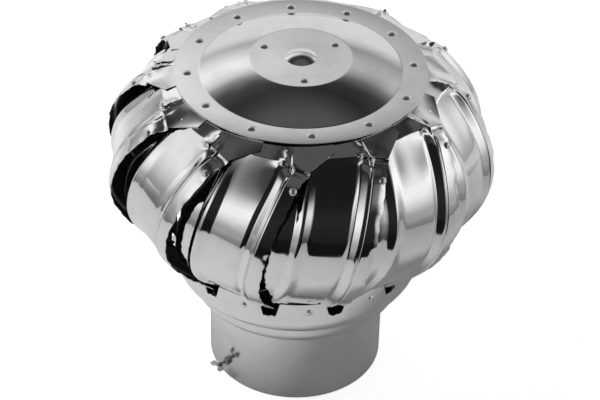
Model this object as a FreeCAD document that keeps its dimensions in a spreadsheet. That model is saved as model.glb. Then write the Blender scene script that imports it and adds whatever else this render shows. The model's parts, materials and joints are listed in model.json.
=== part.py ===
import FreeCAD, Part
import Sketcher
import math
import os

# Rotating chimney cowl, millimetres, +Z up.
# The origin is the centre of the neck's lower edge, and the rotor turns about the Z axis.

Vector = FreeCAD.Vector
Constraint = Sketcher.Constraint
Rotation = FreeCAD.Rotation
Placement = FreeCAD.Placement

doc = FreeCAD.newDocument("ChimneyCowl")
sheet = doc.addObject("Spreadsheet::Sheet", "Sizes")

# Driving dimensions. Angles are in degrees.
SIZES = [
    ("pipe_radius", 75, "flue pipe that the neck slips over"),
    ("pipe_clearance", 0.4, "between the pipe and the neck"),
    ("neck_sheet", 0.6, "sheet of the neck"),
    ("neck_tall", 75.6, "straight part of the neck"),
    ("flare_radius", 13, "roll of the flared neck rim"),
    ("flare_reach", 17, "flare outside the neck wall"),
    ("flare_rise", 12, "straight rim above the roll"),
    ("lip_clearance", 2.07, "rotor lip outside the flared rim"),
    ("rotor_sheet", 0.8, "sheet of the skirt and of the cap"),
    ("skirt_round", 16, "roll of the skirt into its lip"),
    ("lip_angle", 76, "how far the skirt rolls in"),
    ("lip_overlap", 3.47, "skirt's lip below the rim's edge"),
    ("skirt_tall", 37, "skirt from its lip to its upper edge"),
    ("cap_radius", 104.8, "outer edge of the cap"),
    ("cap_height", 297.6, "top of the cap's flat rim"),
    ("dome_radius", 83.9, "where the rim turns up"),
    ("dome_rise", 11.5, "boss above the rim"),
    ("dome_round", 240, "roundness of the cap's slope"),
    ("boss_radius", 42.5, "flat in the middle of the cap"),
    ("bump_radius", 13, "pressed centre of the boss"),
    ("bump_rise", 3.5, "height of the pressed centre"),
    ("vane_count", 12, "vanes, and rivets on the rim"),
    ("vane_sheet", 0.6, "sheet of the vanes"),
    ("rib_pitch", 46.5, "between the two ribs of a vane"),
    ("rib_wide", 9, "rib across its roots"),
    ("rib_flat", 6.4, "flat top of a rib"),
    ("rib_rise", 3, "rib height"),
    ("rib_flank", 6.3, "slope from the left rib down to the panel"),
    ("left_margin", 10, "left edge outside its rib"),
    ("left_tuck", 4, "left edge tucked in"),
    ("margin_cut", 20, "left margin cut off above the foot"),
    ("shoulder_wide", 5, "panel falling to the right rib's root"),
    ("shoulder_rise", 0.8, "panel there before it falls"),
    ("root_deep", 0.6, "root of the right rib below the panel"),
    ("hem_wide", 12, "hem outside the right rib"),
    ("hem_bead", 2.8, "round of the hem standing out"),
    ("hem_proud", 2, "hem's edge standing out"),
    ("chord_tilt", 12, "vane turned out of the tangent"),
    ("lean_start", -2, "right rib from the pinch"),
    ("lean", 14, "vane leans back by, top to foot"),
    ("lean_power", 2.4, "how early the lean comes"),
    ("fold_reach", 17.2, "fold outside the cap, at the right rib"),
    ("fold_drop", 7.6, "that fold below the cap's rim"),
    ("fold_lift", 1, "fold higher, left of the rib"),
    ("fold_slope", 52, "vane under the fold, below level"),
    ("fold_arm", 30, "stiffness of the curve at the fold"),
    ("fold_taper", 0.109, "fold radius lost per mm to the left"),
    ("fold_step", 3.3, "fold further in, left of the rib"),
    ("hem_taper", 0.30, "fold radius gained per mm of hem"),
    ("hem_fall", 0.24, "fold height lost per mm of hem"),
    ("belly_radius", 160, "widest part of the panel"),
    ("belly_height", 213, "height of the widest part"),
    ("belly_arm", 35, "stiffness of the curve above it"),
    ("belly_drop", 28, "stiffness of the curve below it"),
    ("foot_reach", 6.8, "panel over the skirt, outside its wall"),
    ("foot_rise", 6.5, "that point above the skirt's edge"),
    ("foot_slope", 44, "panel there, below level"),
    ("foot_arm", 28, "stiffness of the curve at the foot"),
    ("foot_lift", 1.8, "foot fold above the skirt's edge, at the right rib"),
    ("foot_fall", 0.258, "foot fold lower per mm to the right"),
    ("tab_margin", 2.1, "inner end of the tabs outside the dome"),
    ("bend_reach", 0.7, "tabs bend down outside the cap"),
    ("tab_step", 0.7, "one tab above the next"),
    ("flap_reach", 8.2, "corner of the tab's right flap, outside the cap"),
    ("flap_angle", 16, "that corner from the pinch"),
    ("flap_drop", 4.1, "that corner below the cap's rim"),
    ("first_pinch", -91.5, "pinch of the first vane"),
    ("flange_span", 19, "foot flange round the skirt"),
    ("flange_shift", -2.8, "middle of the flange round from its rivet"),
    ("flange_lift", 1.5, "bend of the foot flange above the skirt's edge"),
    ("flange_tall", 17, "foot flange down inside the skirt"),
    ("flange_fit", 0.1, "between the flange and the skirt"),
    ("notch_wide", 18, "notch of the skirt between two flanges, at its top"),
    ("notch_floor", 11, "that notch at its foot"),
    ("notch_deep", 14, "that notch below the skirt's edge"),
    ("rivet_shank", 2, "rivet shank radius"),
    ("rivet_head", 4, "rivet head radius"),
    ("rivet_crown", 1.5, "rivet head height"),
    ("rivet_fit", 0.05, "rivet in its hole"),
    ("rim_rivet_inset", 0.75, "rivets inside the middle of the rim"),
    ("rim_rivet_turn", 7.6, "rim rivet from the pinch"),
    ("hub_rivet_inset", 8.6, "rivets inside the boss's edge"),
    ("hub_rivet_turn", 35, "first of them"),
    ("skirt_rivet_drop", 8.5, "rivets below the skirt's edge"),
    ("hem_rivet_drop", 15, "rivet that closes the hem, below the fold"),
    ("hem_rivet_seat", 0.15, "its head on the curved sheet"),
    ("small_rivet_head", 3, "head of the skirt and hem rivets"),
    ("strap_wide", 25, "cross straps"),
    ("strap_thick", 2, "cross straps"),
    ("strap_margin", 0.5, "legs below the flared rim's edge"),
    ("shaft_radius", 6, "shaft"),
    ("journal_radius", 5, "shaft in the bearings"),
    ("stud_radius", 4, "threaded top of the shaft"),
    ("collar_radius", 10, "collar that sits on the straps"),
    ("collar_tall", 4, "collar"),
    ("bolt_fit", 0.1, "shaft in the straps and nuts"),
    ("nut_flats", 18, "nut under the straps"),
    ("nut_tall", 6, "nut under the straps"),
    ("thread_showing", 3, "shaft below that nut"),
    ("washer_radius", 12, "washer under the straps"),
    ("washer_thick", 1.5, "washer under the straps"),
    ("bearing_radius", 13, "outer race"),
    ("bearing_wide", 8, "both races"),
    ("race_wall", 2.3, "inner race wall"),
    ("race_gap", 0.3, "shield to inner race"),
    ("shield_radius", 11, "shield in the outer race"),
    ("shield_dish", 0.4, "shield below the race's face"),
    ("bearing_span", 56, "between the two bearings"),
    ("bearing_drop", 10.3, "upper bearing below the boss"),
    ("race_fit", 0.02, "races and spacer on the shaft"),
    ("housing_wall", 2.5, "bearing housing"),
    ("housing_margin", 2.5, "flange inside the boss's edge"),
    ("housing_sheet", 3, "flange under the boss"),
    ("ledge_radius", 11.5, "ledge that rests on the outer race"),
    ("circlip_thick", 1.2, "circlip under the lower bearing"),
    ("circlip_deep", 0.8, "circlip groove"),
    ("circlip_inner", 11, "circlip opening"),
    ("lock_flats", 13, "lock nut on top"),
    ("lock_tall", 5, "lock nut on top"),
    ("clamp_height", 15.4, "clamp screws of the neck"),
    ("clamp_turn", -141.5, "first clamp screw"),
    ("clamp_radius", 2, "clamp screw shank"),
    ("clamp_head", 3.6, "clamp screw head"),
    ("clamp_head_tall", 2.4, "clamp screw head"),
    ("clamp_out", 4, "shank showing outside the nut"),
    ("wing_span", 7, "wing of the clamp screw from its middle"),
    ("wing_thick", 1.6, "wings of the clamp screw"),
    ("wing_tall", 5, "wings of the clamp screw"),
    ("clamp_nut_flats", 7, "clamp nut"),
    ("clamp_nut_tall", 3.2, "clamp nut"),
]
for row, (alias, value, meaning) in enumerate(SIZES, start=1):
    sheet.set("A%d" % row, alias)
    sheet.set("B%d" % row, str(value))
    sheet.set("C%d" % row, meaning)
    sheet.setAlias("B%d" % row, alias)
doc.recompute()


def in_sheet(formula):
    """The formula with every size name pointing at its cell."""
    words = []
    word = ""
    for letter in formula + " ":
        if letter.isalnum() or letter == "_":
            word += letter
            continue
        words.append("Sizes." + word if word in ALIASES else word)
        words.append(letter)
        word = ""
    return "".join(words).strip()


ALIASES = {alias for alias, value, meaning in SIZES}


def size(formula):
    """The number that a formula of size names has now."""
    return float(sheet.evalExpression(in_sheet(formula)))


# Sizes that other pieces share, each written once as a formula of the driving dimensions.
NECK_INNER = "(pipe_radius + pipe_clearance)"
NECK_OUTER = "(pipe_radius + pipe_clearance + neck_sheet)"
FLARE_OUTER = "(pipe_radius + pipe_clearance + neck_sheet + flare_reach)"
FLARE_MIDDLE = "(%s - flare_radius)" % FLARE_OUTER
FLARE_TURN = "(neck_tall + sqrt(pow(flare_radius; 2) - pow(flare_reach - flare_radius; 2)))"
RIM_TOP = "(%s + flare_rise)" % FLARE_TURN
RIM_INNER = "(%s - neck_sheet)" % FLARE_OUTER
LIP_RADIUS = "(%s + lip_clearance)" % FLARE_OUTER
LIP_HEIGHT = "(%s - lip_overlap)" % RIM_TOP
BOWL_MIDDLE = "(%s - skirt_round * cos(lip_angle))" % LIP_RADIUS
BOWL_TURN = "(%s + skirt_round * sin(lip_angle))" % LIP_HEIGHT
SKIRT_RADIUS = "(%s + skirt_round)" % BOWL_MIDDLE
SKIRT_TOP = "(%s + skirt_tall)" % LIP_HEIGHT
SKIRT_RIVET_HEIGHT = "(%s - skirt_rivet_drop)" % SKIRT_TOP
CAP_UNDER = "(cap_height - rotor_sheet)"
RIM_RIVET_CIRCLE = "((dome_radius + cap_radius) / 2 - rim_rivet_inset)"
HUB_RIVET_CIRCLE = "(boss_radius - hub_rivet_inset)"
TAB_INNER = "(dome_radius + tab_margin)"
TAB_BEND = "(cap_radius + bend_reach)"
BOSS_TOP = "(cap_height + dome_rise)"
BOSS_UNDER = "(cap_height + dome_rise - rotor_sheet)"
STRAPS_LOW = FLARE_TURN
STRAPS_TOP = "(%s + 2 * strap_thick)" % STRAPS_LOW
UPPER_BEARING_TOP = "(%s - bearing_drop)" % BOSS_UNDER
UPPER_BEARING = "(%s - bearing_wide)" % UPPER_BEARING_TOP
LOWER_BEARING_TOP = "(%s - bearing_span)" % UPPER_BEARING
LOWER_BEARING = "(%s - bearing_wide)" % LOWER_BEARING_TOP
INNER_RACE = "(journal_radius + race_wall)"


def origin_part(body, role):
    """The origin plane or axis of a body that has this role."""
    return [part for part in body.Origin.OriginFeatures if part.Role == role][0]


def new_body(name):
    body = doc.addObject("PartDesign::Body", name)
    body.Label = name
    body.AllowCompound = True
    return body


def draw_profile(body, plane, corners, arcs=None, offset=None, label=None):
    """A closed sketch whose corners are pairs of formulas.
    arcs gives a side, by its number, a radius and +1 or -1 for a left or right turn."""
    arcs = arcs or {}
    sketch = body.newObject("Sketcher::SketchObject", (label or body.Name) + "_sketch")
    sketch.AttachmentSupport = [(origin_part(body, plane), "")]
    sketch.MapMode = "FlatFace"
    if offset:
        sketch.AttachmentOffset = offset
    points = [Vector(size(x), size(y), 0) for x, y in corners]
    ends = []
    for side, start in enumerate(points):
        end = points[(side + 1) % len(points)]
        if side not in arcs:
            sketch.addGeometry(Part.LineSegment(start, end), False)
            ends.append((1, 2))
            continue
        radius, turn = size(arcs[side][0]), arcs[side][1]
        chord = end - start
        rise = math.sqrt(max(radius ** 2 - (chord.Length / 2) ** 2, 0))
        across = Vector(-chord.y, chord.x, 0).normalize()
        middle = (start + end) * 0.5 + across * (turn * rise)
        first, last = (start, end) if turn > 0 else (end, start)
        from_angle = math.atan2(first.y - middle.y, first.x - middle.x)
        to_angle = math.atan2(last.y - middle.y, last.x - middle.x)
        circle = Part.Circle(middle, Vector(0, 0, 1), radius)
        sketch.addGeometry(Part.ArcOfCircle(circle, from_angle, to_angle), False)
        ends.append((1, 2) if turn > 0 else (2, 1))
    for side, (x, y) in enumerate(corners):
        before = (side - 1) % len(points)
        sketch.addConstraint(Constraint("Coincident", before, ends[before][1], side, ends[side][0]))
        for kind, formula in (("DistanceX", x), ("DistanceY", y)):
            number = sketch.addConstraint(
                Constraint(kind, -1, 1, side, ends[side][0], size(formula)))
            sketch.setExpression("Constraints[%d]" % number, in_sheet(formula))
        if side in arcs:
            number = sketch.addConstraint(Constraint("Radius", side, size(arcs[side][0])))
            sketch.setExpression("Constraints[%d]" % number, in_sheet(arcs[side][0]))
    return sketch


def revolve(body, sketch):
    """Turns the sketch once round its own vertical axis."""
    turned = body.newObject("PartDesign::Revolution", body.Name + "_turned")
    turned.Profile = sketch
    turned.ReferenceAxis = (sketch, ["V_Axis"])
    turned.Angle = 360
    body.Tip = turned
    return turned


def turned_body(name, corners, arcs=None):
    """A body turned about Z from a profile of radius and height formulas."""
    body = new_body(name)
    revolve(body, draw_profile(body, "XZ_Plane", corners, arcs))
    return body


def drill(body, label, radius, circle, angle, count):
    """Upright round holes on a circle about Z, right through the body."""
    sketch = body.newObject("Sketcher::SketchObject", label + "_sketch")
    sketch.AttachmentSupport = [(origin_part(body, "XY_Plane"), "")]
    sketch.MapMode = "FlatFace"
    turn = math.radians(size(angle))
    middle = Vector(size(circle) * math.cos(turn), size(circle) * math.sin(turn), 0)
    sketch.addGeometry(Part.Circle(middle, Vector(0, 0, 1), size(radius)), False)
    across = "(%s) * cos(%s)" % (circle, angle)
    along = "(%s) * sin(%s)" % (circle, angle)
    for kind, formula in (("DistanceX", across), ("DistanceY", along)):
        number = sketch.addConstraint(Constraint(kind, -1, 1, 0, 3, size(formula)))
        sketch.setExpression("Constraints[%d]" % number, in_sheet(formula))
    number = sketch.addConstraint(Constraint("Radius", 0, size(radius)))
    sketch.setExpression("Constraints[%d]" % number, in_sheet(radius))
    hole = body.newObject("PartDesign::Pocket", label)
    hole.Profile = sketch
    hole.Type = "ThroughAll"
    hole.Reversed = True
    body.Tip = hole
    repeat_round(body, hole, label + "_round", count)


def repeat_round(body, feature, label, count):
    """Copies of the feature all round the Z axis."""
    pattern = body.newObject("PartDesign::PolarPattern", label)
    pattern.Originals = [feature]
    pattern.Axis = (origin_part(body, "Z_Axis"), [""])
    pattern.Angle = 360
    if str(count).isdigit():
        pattern.Occurrences = int(count)
    else:
        pattern.setExpression("Occurrences", in_sheet(count))
    body.Tip = pattern


def drill_sideways(body, label, radius, height, angle, count):
    """Round holes through a wall, square to the Z axis, count of them all round."""
    sketch = body.newObject("Sketcher::SketchObject", label + "_sketch")
    sketch.AttachmentSupport = [(origin_part(body, "YZ_Plane"), "")]
    sketch.MapMode = "FlatFace"
    sketch.AttachmentOffset = Placement(Vector(0, 0, 0), Rotation(Vector(0, 1, 0), 0))
    sketch.setExpression("AttachmentOffset.Rotation.Angle", in_sheet(angle))
    sketch.addGeometry(Part.Circle(Vector(0, size(height), 0), Vector(0, 0, 1), size(radius)), False)
    for kind, formula in (("DistanceX", "0 * pipe_radius"), ("DistanceY", height)):
        number = sketch.addConstraint(Constraint(kind, -1, 1, 0, 3, size(formula)))
        sketch.setExpression("Constraints[%d]" % number, in_sheet(formula))
    number = sketch.addConstraint(Constraint("Radius", 0, size(radius)))
    sketch.setExpression("Constraints[%d]" % number, in_sheet(radius))
    hole = body.newObject("PartDesign::Pocket", label)
    hole.Profile = sketch
    hole.Type = "ThroughAll"
    hole.Reversed = True
    body.Tip = hole
    repeat_round(body, hole, label + "_round", count)


# The neck: a tube, a crease, and a rim rolled out under the rotor's lip.
neck = turned_body("neck_sleeve", [
    (NECK_OUTER, "0 * neck_tall"),
    (NECK_OUTER, "neck_tall"),
    (FLARE_OUTER, FLARE_TURN),
    (FLARE_OUTER, FLARE_TURN + " + flare_rise"),
    (FLARE_OUTER + " - neck_sheet", FLARE_TURN + " + flare_rise"),
    (FLARE_OUTER + " - neck_sheet", FLARE_TURN),
    (NECK_INNER, "%s - sqrt(pow(flare_radius - neck_sheet; 2) - pow(%s - %s; 2))"
     % (FLARE_TURN, FLARE_MIDDLE, NECK_INNER)),
    (NECK_INNER, "0 * neck_tall"),
], {1: ("flare_radius", 1), 5: ("flare_radius - neck_sheet", -1)})
drill_sideways(neck, "clamp_holes", "clamp_radius + bolt_fit", "clamp_height", "clamp_turn", 2)

# The skirt: the rotor's lower ring, rolled in to a lip over the neck's rim.
INNER_ROUND = "(skirt_round - rotor_sheet)"
skirt = turned_body("skirt_ring", [
    (LIP_RADIUS, LIP_HEIGHT),
    (SKIRT_RADIUS, BOWL_TURN),
    (SKIRT_RADIUS, SKIRT_TOP),
    (SKIRT_RADIUS + " - rotor_sheet", SKIRT_TOP),
    (SKIRT_RADIUS + " - rotor_sheet", BOWL_TURN),
    ("%s + %s * cos(lip_angle)" % (BOWL_MIDDLE, INNER_ROUND),
     "%s - %s * sin(lip_angle)" % (BOWL_TURN, INNER_ROUND)),
], {0: ("skirt_round", 1), 4: (INNER_ROUND, -1)})
RIM_RIVET_ANGLE = "(first_pinch + rim_rivet_turn)"
NOTCH_ANGLE = "(%s + flange_shift + 180 / vane_count)" % RIM_RIVET_ANGLE
notch_place = Placement(Vector(0, 0, 0), Rotation(Vector(0, 1, 0), size(NOTCH_ANGLE)))
notch_sketch = draw_profile(skirt, "YZ_Plane", [
    ("0 - notch_floor / 2", SKIRT_TOP + " - notch_deep"),
    ("notch_floor / 2", SKIRT_TOP + " - notch_deep"),
    ("notch_wide / 2", SKIRT_TOP),
    ("0 - notch_wide / 2", SKIRT_TOP),
], None, notch_place, "notch")
notch_sketch.setExpression("AttachmentOffset.Rotation.Angle", in_sheet(NOTCH_ANGLE))
notch = skirt.newObject("PartDesign::Pocket", "notches")
notch.Profile = notch_sketch
notch.Type = "ThroughAll"
notch.Reversed = True
skirt.Tip = notch
repeat_round(skirt, notch, "notches_round", "vane_count")
drill_sideways(skirt, "skirt_holes", "rivet_shank + rivet_fit", SKIRT_RIVET_HEIGHT,
               RIM_RIVET_ANGLE, "vane_count")

# The cap: flat rim, sloping dome, flat boss and a pressed centre, in one sheet.
BUMP_ROUND = "((pow(bump_radius; 2) + pow(bump_rise; 2)) / (2 * bump_rise))"
cap = turned_body("top_cap", [
    ("0 * bump_radius", BOSS_TOP + " + bump_rise"),
    ("0 * bump_radius", BOSS_UNDER + " + bump_rise"),
    ("bump_radius", BOSS_UNDER),
    ("boss_radius", BOSS_UNDER),
    ("dome_radius", CAP_UNDER),
    ("cap_radius", CAP_UNDER),
    ("cap_radius", "cap_height"),
    ("dome_radius", "cap_height"),
    ("boss_radius", BOSS_TOP),
    ("bump_radius", BOSS_TOP),
], {1: (BUMP_ROUND, -1), 3: ("dome_round", -1), 7: ("dome_round", 1), 9: (BUMP_ROUND, 1)})
drill(cap, "rim_holes", "rivet_shank + rivet_fit", RIM_RIVET_CIRCLE, RIM_RIVET_ANGLE, "vane_count")
drill(cap, "hub_holes", "rivet_shank + rivet_fit", HUB_RIVET_CIRCLE, "hub_rivet_turn", 3)

# The bearing housing hangs under the boss: flange, ledge over the upper race, circlip groove.
TUBE_OUTER = "(bearing_radius + housing_wall)"
FLANGE_UNDER = "(%s - housing_sheet)" % BOSS_UNDER
HOUSING_FLANGE = "(boss_radius - housing_margin)"
CIRCLIP_FIT = "%s - circlip_thick" % LOWER_BEARING
housing = turned_body("bearing_housing", [
    ("ledge_radius", UPPER_BEARING_TOP),
    ("bearing_radius", UPPER_BEARING_TOP),
    ("bearing_radius", LOWER_BEARING),
    ("bearing_radius + circlip_deep", LOWER_BEARING),
    ("bearing_radius + circlip_deep", CIRCLIP_FIT),
    ("bearing_radius", CIRCLIP_FIT),
    ("bearing_radius", CIRCLIP_FIT + " - housing_wall"),
    (TUBE_OUTER, CIRCLIP_FIT + " - housing_wall"),
    (TUBE_OUTER, FLANGE_UNDER),
    (HOUSING_FLANGE, FLANGE_UNDER),
    (HOUSING_FLANGE, BOSS_UNDER),
    ("ledge_radius", BOSS_UNDER),
])
drill(housing, "flange_holes", "rivet_shank + rivet_fit", HUB_RIVET_CIRCLE, "hub_rivet_turn", 3)

# The shaft stands on the cross straps and carries both bearings.
STRAP_NUT_LOW = "(%s - washer_thick - nut_tall)" % STRAPS_LOW
SHAFT_FOOT = "(%s - thread_showing)" % STRAP_NUT_LOW
SHOULDER = LOWER_BEARING
LOCK_SEAT = UPPER_BEARING_TOP
shaft = turned_body("shaft", [
    ("0 * shaft_radius", SHAFT_FOOT),
    ("shaft_radius", SHAFT_FOOT),
    ("shaft_radius", STRAPS_TOP),
    ("collar_radius", STRAPS_TOP),
    ("collar_radius", STRAPS_TOP + " + collar_tall"),
    ("shaft_radius", STRAPS_TOP + " + collar_tall"),
    ("shaft_radius", SHOULDER),
    ("journal_radius", SHOULDER),
    ("journal_radius", LOCK_SEAT),
    ("stud_radius", LOCK_SEAT),
    ("stud_radius", LOCK_SEAT + " + lock_tall + stud_radius / 2"),
    ("0 * shaft_radius", LOCK_SEAT + " + lock_tall + stud_radius / 2"),
])


def ring(name, inner, outer, low, high):
    """A plain ring about Z."""
    return turned_body(name, [(inner, low), (outer, low), (outer, high), (inner, high)])


BORE = "journal_radius + race_fit"
SHIELD_INNER = "%s + race_gap" % INNER_RACE
for name, low in (("lower", LOWER_BEARING), ("upper", UPPER_BEARING)):
    high = "%s + bearing_wide" % low
    ring(name + "_inner_race", BORE, INNER_RACE, low, high)
    turned_body(name + "_outer_race", [
        (SHIELD_INNER, low + " + shield_dish"),
        ("shield_radius", low + " + shield_dish"),
        ("shield_radius", low),
        ("bearing_radius", low),
        ("bearing_radius", high),
        ("shield_radius", high),
        ("shield_radius", high + " - shield_dish"),
        (SHIELD_INNER, high + " - shield_dish"),
    ])
ring("race_spacer", BORE, "journal_radius + race_wall / 2", LOWER_BEARING_TOP, UPPER_BEARING)
ring("strap_washer", "shaft_radius + bolt_fit", "washer_radius",
     STRAPS_LOW + " - washer_thick", STRAPS_LOW)


def hex_nut(name, flats, bore, low, tall):
    """A hexagon nut about Z: a six-sided prism less its bore."""
    prism = doc.addObject("Part::Prism", name + "_prism")
    prism.Polygon = 6
    prism.setExpression("Circumradius", in_sheet("(%s) / 2 / cos(30)" % flats))
    prism.setExpression("Height", in_sheet(tall))
    hole = doc.addObject("Part::Cylinder", name + "_bore")
    hole.setExpression("Radius", in_sheet(bore))
    hole.setExpression("Height", in_sheet(tall))
    nut = doc.addObject("Part::Cut", name)
    nut.Base = prism
    nut.Tool = hole
    nut.Label = name
    nut.setExpression("Placement.Base.z", in_sheet(low))
    return nut


strap_nut = hex_nut("strap_nut", "nut_flats", "shaft_radius + race_fit",
                    STRAP_NUT_LOW, "nut_tall")
lock_nut = hex_nut("lock_nut", "lock_flats", "stud_radius + race_fit", LOCK_SEAT, "lock_tall")

# The circlip: an open ring in the housing's groove.
clip_ring = doc.addObject("Part::Cylinder", "circlip_ring")
clip_ring.setExpression("Radius", in_sheet("bearing_radius + circlip_deep - race_fit"))
clip_ring.setExpression("Height", in_sheet("circlip_thick"))
clip_hole = doc.addObject("Part::Cylinder", "circlip_hole")
clip_hole.setExpression("Radius", in_sheet("circlip_inner"))
clip_hole.setExpression("Height", in_sheet("circlip_thick"))
clip_gap = doc.addObject("Part::Box", "circlip_gap")
clip_gap.setExpression("Length", in_sheet("2 * bearing_radius"))
clip_gap.setExpression("Width", in_sheet("circlip_inner / 2"))
clip_gap.setExpression("Height", in_sheet("circlip_thick"))
clip_gap.setExpression("Placement.Base.y", in_sheet("0 - circlip_inner / 4"))
clip_tools = doc.addObject("Part::MultiFuse", "circlip_tools")
clip_tools.Shapes = [clip_hole, clip_gap]
circlip = doc.addObject("Part::Cut", "circlip")
circlip.Base = clip_ring
circlip.Tool = clip_tools
circlip.setExpression("Placement.Base.z", in_sheet(CIRCLIP_FIT))


def cross_strap(name, low, turn):
    """A flat bar across the flared rim with its ends bent up along the rim's wall."""
    tall = "%s - strap_margin - (%s)" % (RIM_TOP, low)
    bar = doc.addObject("Part::Box", name + "_bar")
    bar.setExpression("Length", in_sheet("2 * %s" % RIM_INNER))
    bar.setExpression("Width", in_sheet("strap_wide"))
    bar.setExpression("Height", in_sheet(tall))
    bar.setExpression("Placement.Base.x", in_sheet("0 - %s" % RIM_INNER))
    bar.setExpression("Placement.Base.y", in_sheet("0 - strap_wide / 2"))
    round_end = doc.addObject("Part::Cylinder", name + "_round_end")
    round_end.setExpression("Radius", in_sheet(RIM_INNER))
    round_end.setExpression("Height", in_sheet(tall))
    blank = doc.addObject("Part::Common", name + "_blank")
    blank.Base = bar
    blank.Tool = round_end
    space = doc.addObject("Part::Cylinder", name + "_space")
    space.setExpression("Radius", in_sheet("%s - strap_thick" % RIM_INNER))
    space.setExpression("Height", in_sheet(tall))
    space.setExpression("Placement.Base.z", in_sheet("strap_thick"))
    hole = doc.addObject("Part::Cylinder", name + "_hole")
    hole.setExpression("Radius", in_sheet("shaft_radius + bolt_fit"))
    hole.setExpression("Height", in_sheet(tall))
    tools = doc.addObject("Part::MultiFuse", name + "_tools")
    tools.Shapes = [space, hole]
    strap = doc.addObject("Part::Cut", name)
    strap.Base = blank
    strap.Tool = tools
    strap.Label = name
    strap.Placement = Placement(Vector(0, 0, 0), Rotation(Vector(0, 0, 1), turn))
    strap.setExpression("Placement.Base.z", in_sheet(low))
    return strap


cross_straps = [
    cross_strap("lower_strap", STRAPS_LOW, 0),
    cross_strap("upper_strap", STRAPS_LOW + " + strap_thick", 90),
]


# The vanes. One vane is drawn by lines that run from its tab, under the cap, down to its foot.
# The lines are swept by a meridian of two curves, and each line stands off it by its own offsets.

def bezier(points, share):
    """A point on a cubic curve through the first and last of four points."""
    weights = [(1 - share) ** 3, 3 * share * (1 - share) ** 2, 3 * share ** 2 * (1 - share), share ** 3]
    return tuple(sum(weight * point[axis] for weight, point in zip(weights, points)) for axis in (0, 1))


def cos_of(name):
    return math.cos(math.radians(size(name)))


def sin_of(name):
    return math.sin(math.radians(size(name)))


CURVE_STEPS = 40
FOLD = (size("cap_radius + fold_reach"), size("cap_height - fold_drop"))
BELLY = (size("belly_radius"), size("belly_height"))
FOOT = (size(SKIRT_RADIUS + " + foot_reach"), size(SKIRT_TOP + " + foot_rise"))
UPPER = [
    FOLD,
    (FOLD[0] + size("fold_arm") * cos_of("fold_slope"), FOLD[1] - size("fold_arm") * sin_of("fold_slope")),
    (BELLY[0], BELLY[1] + size("belly_arm")),
    BELLY,
]
LOWER = [
    BELLY,
    (BELLY[0], BELLY[1] - size("belly_drop")),
    (FOOT[0] + size("foot_arm") * cos_of("foot_slope"), FOOT[1] + size("foot_arm") * sin_of("foot_slope")),
    FOOT,
]
MERIDIAN = [bezier(UPPER, step / CURVE_STEPS) for step in range(CURVE_STEPS)]
MERIDIAN += [bezier(LOWER, step / CURVE_STEPS) for step in range(CURVE_STEPS + 1)]
TRAVEL = [0]
for before, after in zip(MERIDIAN, MERIDIAN[1:]):
    TRAVEL.append(TRAVEL[-1] + math.dist(before, after))


def meridian_at(travel):
    """Radius, height and outward normal at a distance along the meridian from the fold."""
    step = sum(1 for mark in TRAVEL[1:-1] if mark <= travel)
    start, end = MERIDIAN[step], MERIDIAN[step + 1]
    length = TRAVEL[step + 1] - TRAVEL[step]
    share = (travel - TRAVEL[step]) / length
    radius = start[0] + share * (end[0] - start[0])
    height = start[1] + share * (end[1] - start[1])
    return radius, height, ((start[1] - end[1]) / length, (end[0] - start[0]) / length)


def travel_to(height):
    """Distance along the meridian at which it comes down to a height."""
    low, high = 0, 2 * TRAVEL[-1]
    for halving in range(50):
        middle = (low + high) / 2
        if meridian_at(middle)[1] > height:
            low = middle
        else:
            high = middle
    return low


def polar(radius, angle, height):
    """A point from its radius, its angle from the pinch and its height."""
    return Vector(radius * math.cos(math.radians(angle)), radius * math.sin(math.radians(angle)), height)


def angle_of(point):
    return math.degrees(math.atan2(point.y, point.x))


def on_vane(across, proud, travel):
    """The point of the vane at a place across its strip, and the panel's normal there."""
    radius, height, slope = meridian_at(travel)
    share = min(travel / TRAVEL[-1], 1)
    turn = size("lean_start") - size("lean") * (1 - (1 - share) ** size("lean_power"))
    outward = polar(1, turn, 0)
    onward = polar(1, turn + 90, 0)
    along = onward * cos_of("chord_tilt") + outward * sin_of("chord_tilt")
    facing = outward * cos_of("chord_tilt") - onward * sin_of("chord_tilt")
    normal = facing * slope[0] + Vector(0, 0, 1) * slope[1]
    middle = outward * radius + Vector(0, 0, height)
    return middle + along * across + normal * proud, normal


HALF_RIB = size("rib_wide") / 2
LEFT_RIB = -size("rib_pitch")
HALF_FLAT = size("rib_flat") / 2
LEFT_EDGE = LEFT_RIB - HALF_RIB - size("left_margin")
# Each line: place across the strip from the right rib, and how far it stands proud.
VANE_LINES = [
    (LEFT_EDGE, -size("left_tuck")),
    (LEFT_RIB - HALF_RIB, -size("left_tuck") / 4),
    (LEFT_RIB - HALF_FLAT, size("rib_rise") - size("left_tuck") / 4),
    (LEFT_RIB + HALF_FLAT, size("rib_rise")),
    (LEFT_RIB + HALF_FLAT + size("rib_flank"), 0),
    (-HALF_RIB - size("shoulder_wide"), size("shoulder_rise")),
    (-HALF_RIB, -size("root_deep")),
    (-HALF_FLAT, size("rib_rise")),
    (HALF_FLAT, size("rib_rise")),
    (HALF_RIB, 0),
    (HALF_RIB + size("hem_wide") / 2, size("hem_bead")),
    (HALF_RIB + size("hem_wide"), size("hem_proud")),
]
# The foot flange lies under the panel and is tucked inside the skirt.
# The margin left of it and the rib and hem right of it end free.
FLANGE_START = 1
FLANGE_END = 6
SHEET_VANE = size("vane_sheet")
PANEL_SECTIONS = 9


def fold_point(across, proud):
    """Where a line crosses the fold outside the cap."""
    angle = angle_of(on_vane(across, 0, 0)[0])
    if across < 0:
        radius = FOLD[0] - size("fold_step") + size("fold_taper") * (across + HALF_RIB) + proud / 2
        return polar(radius, angle, FOLD[1] + size("fold_lift"))
    return polar(FOLD[0] + size("hem_taper") * across, angle, FOLD[1] - size("hem_fall") * across)


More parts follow.
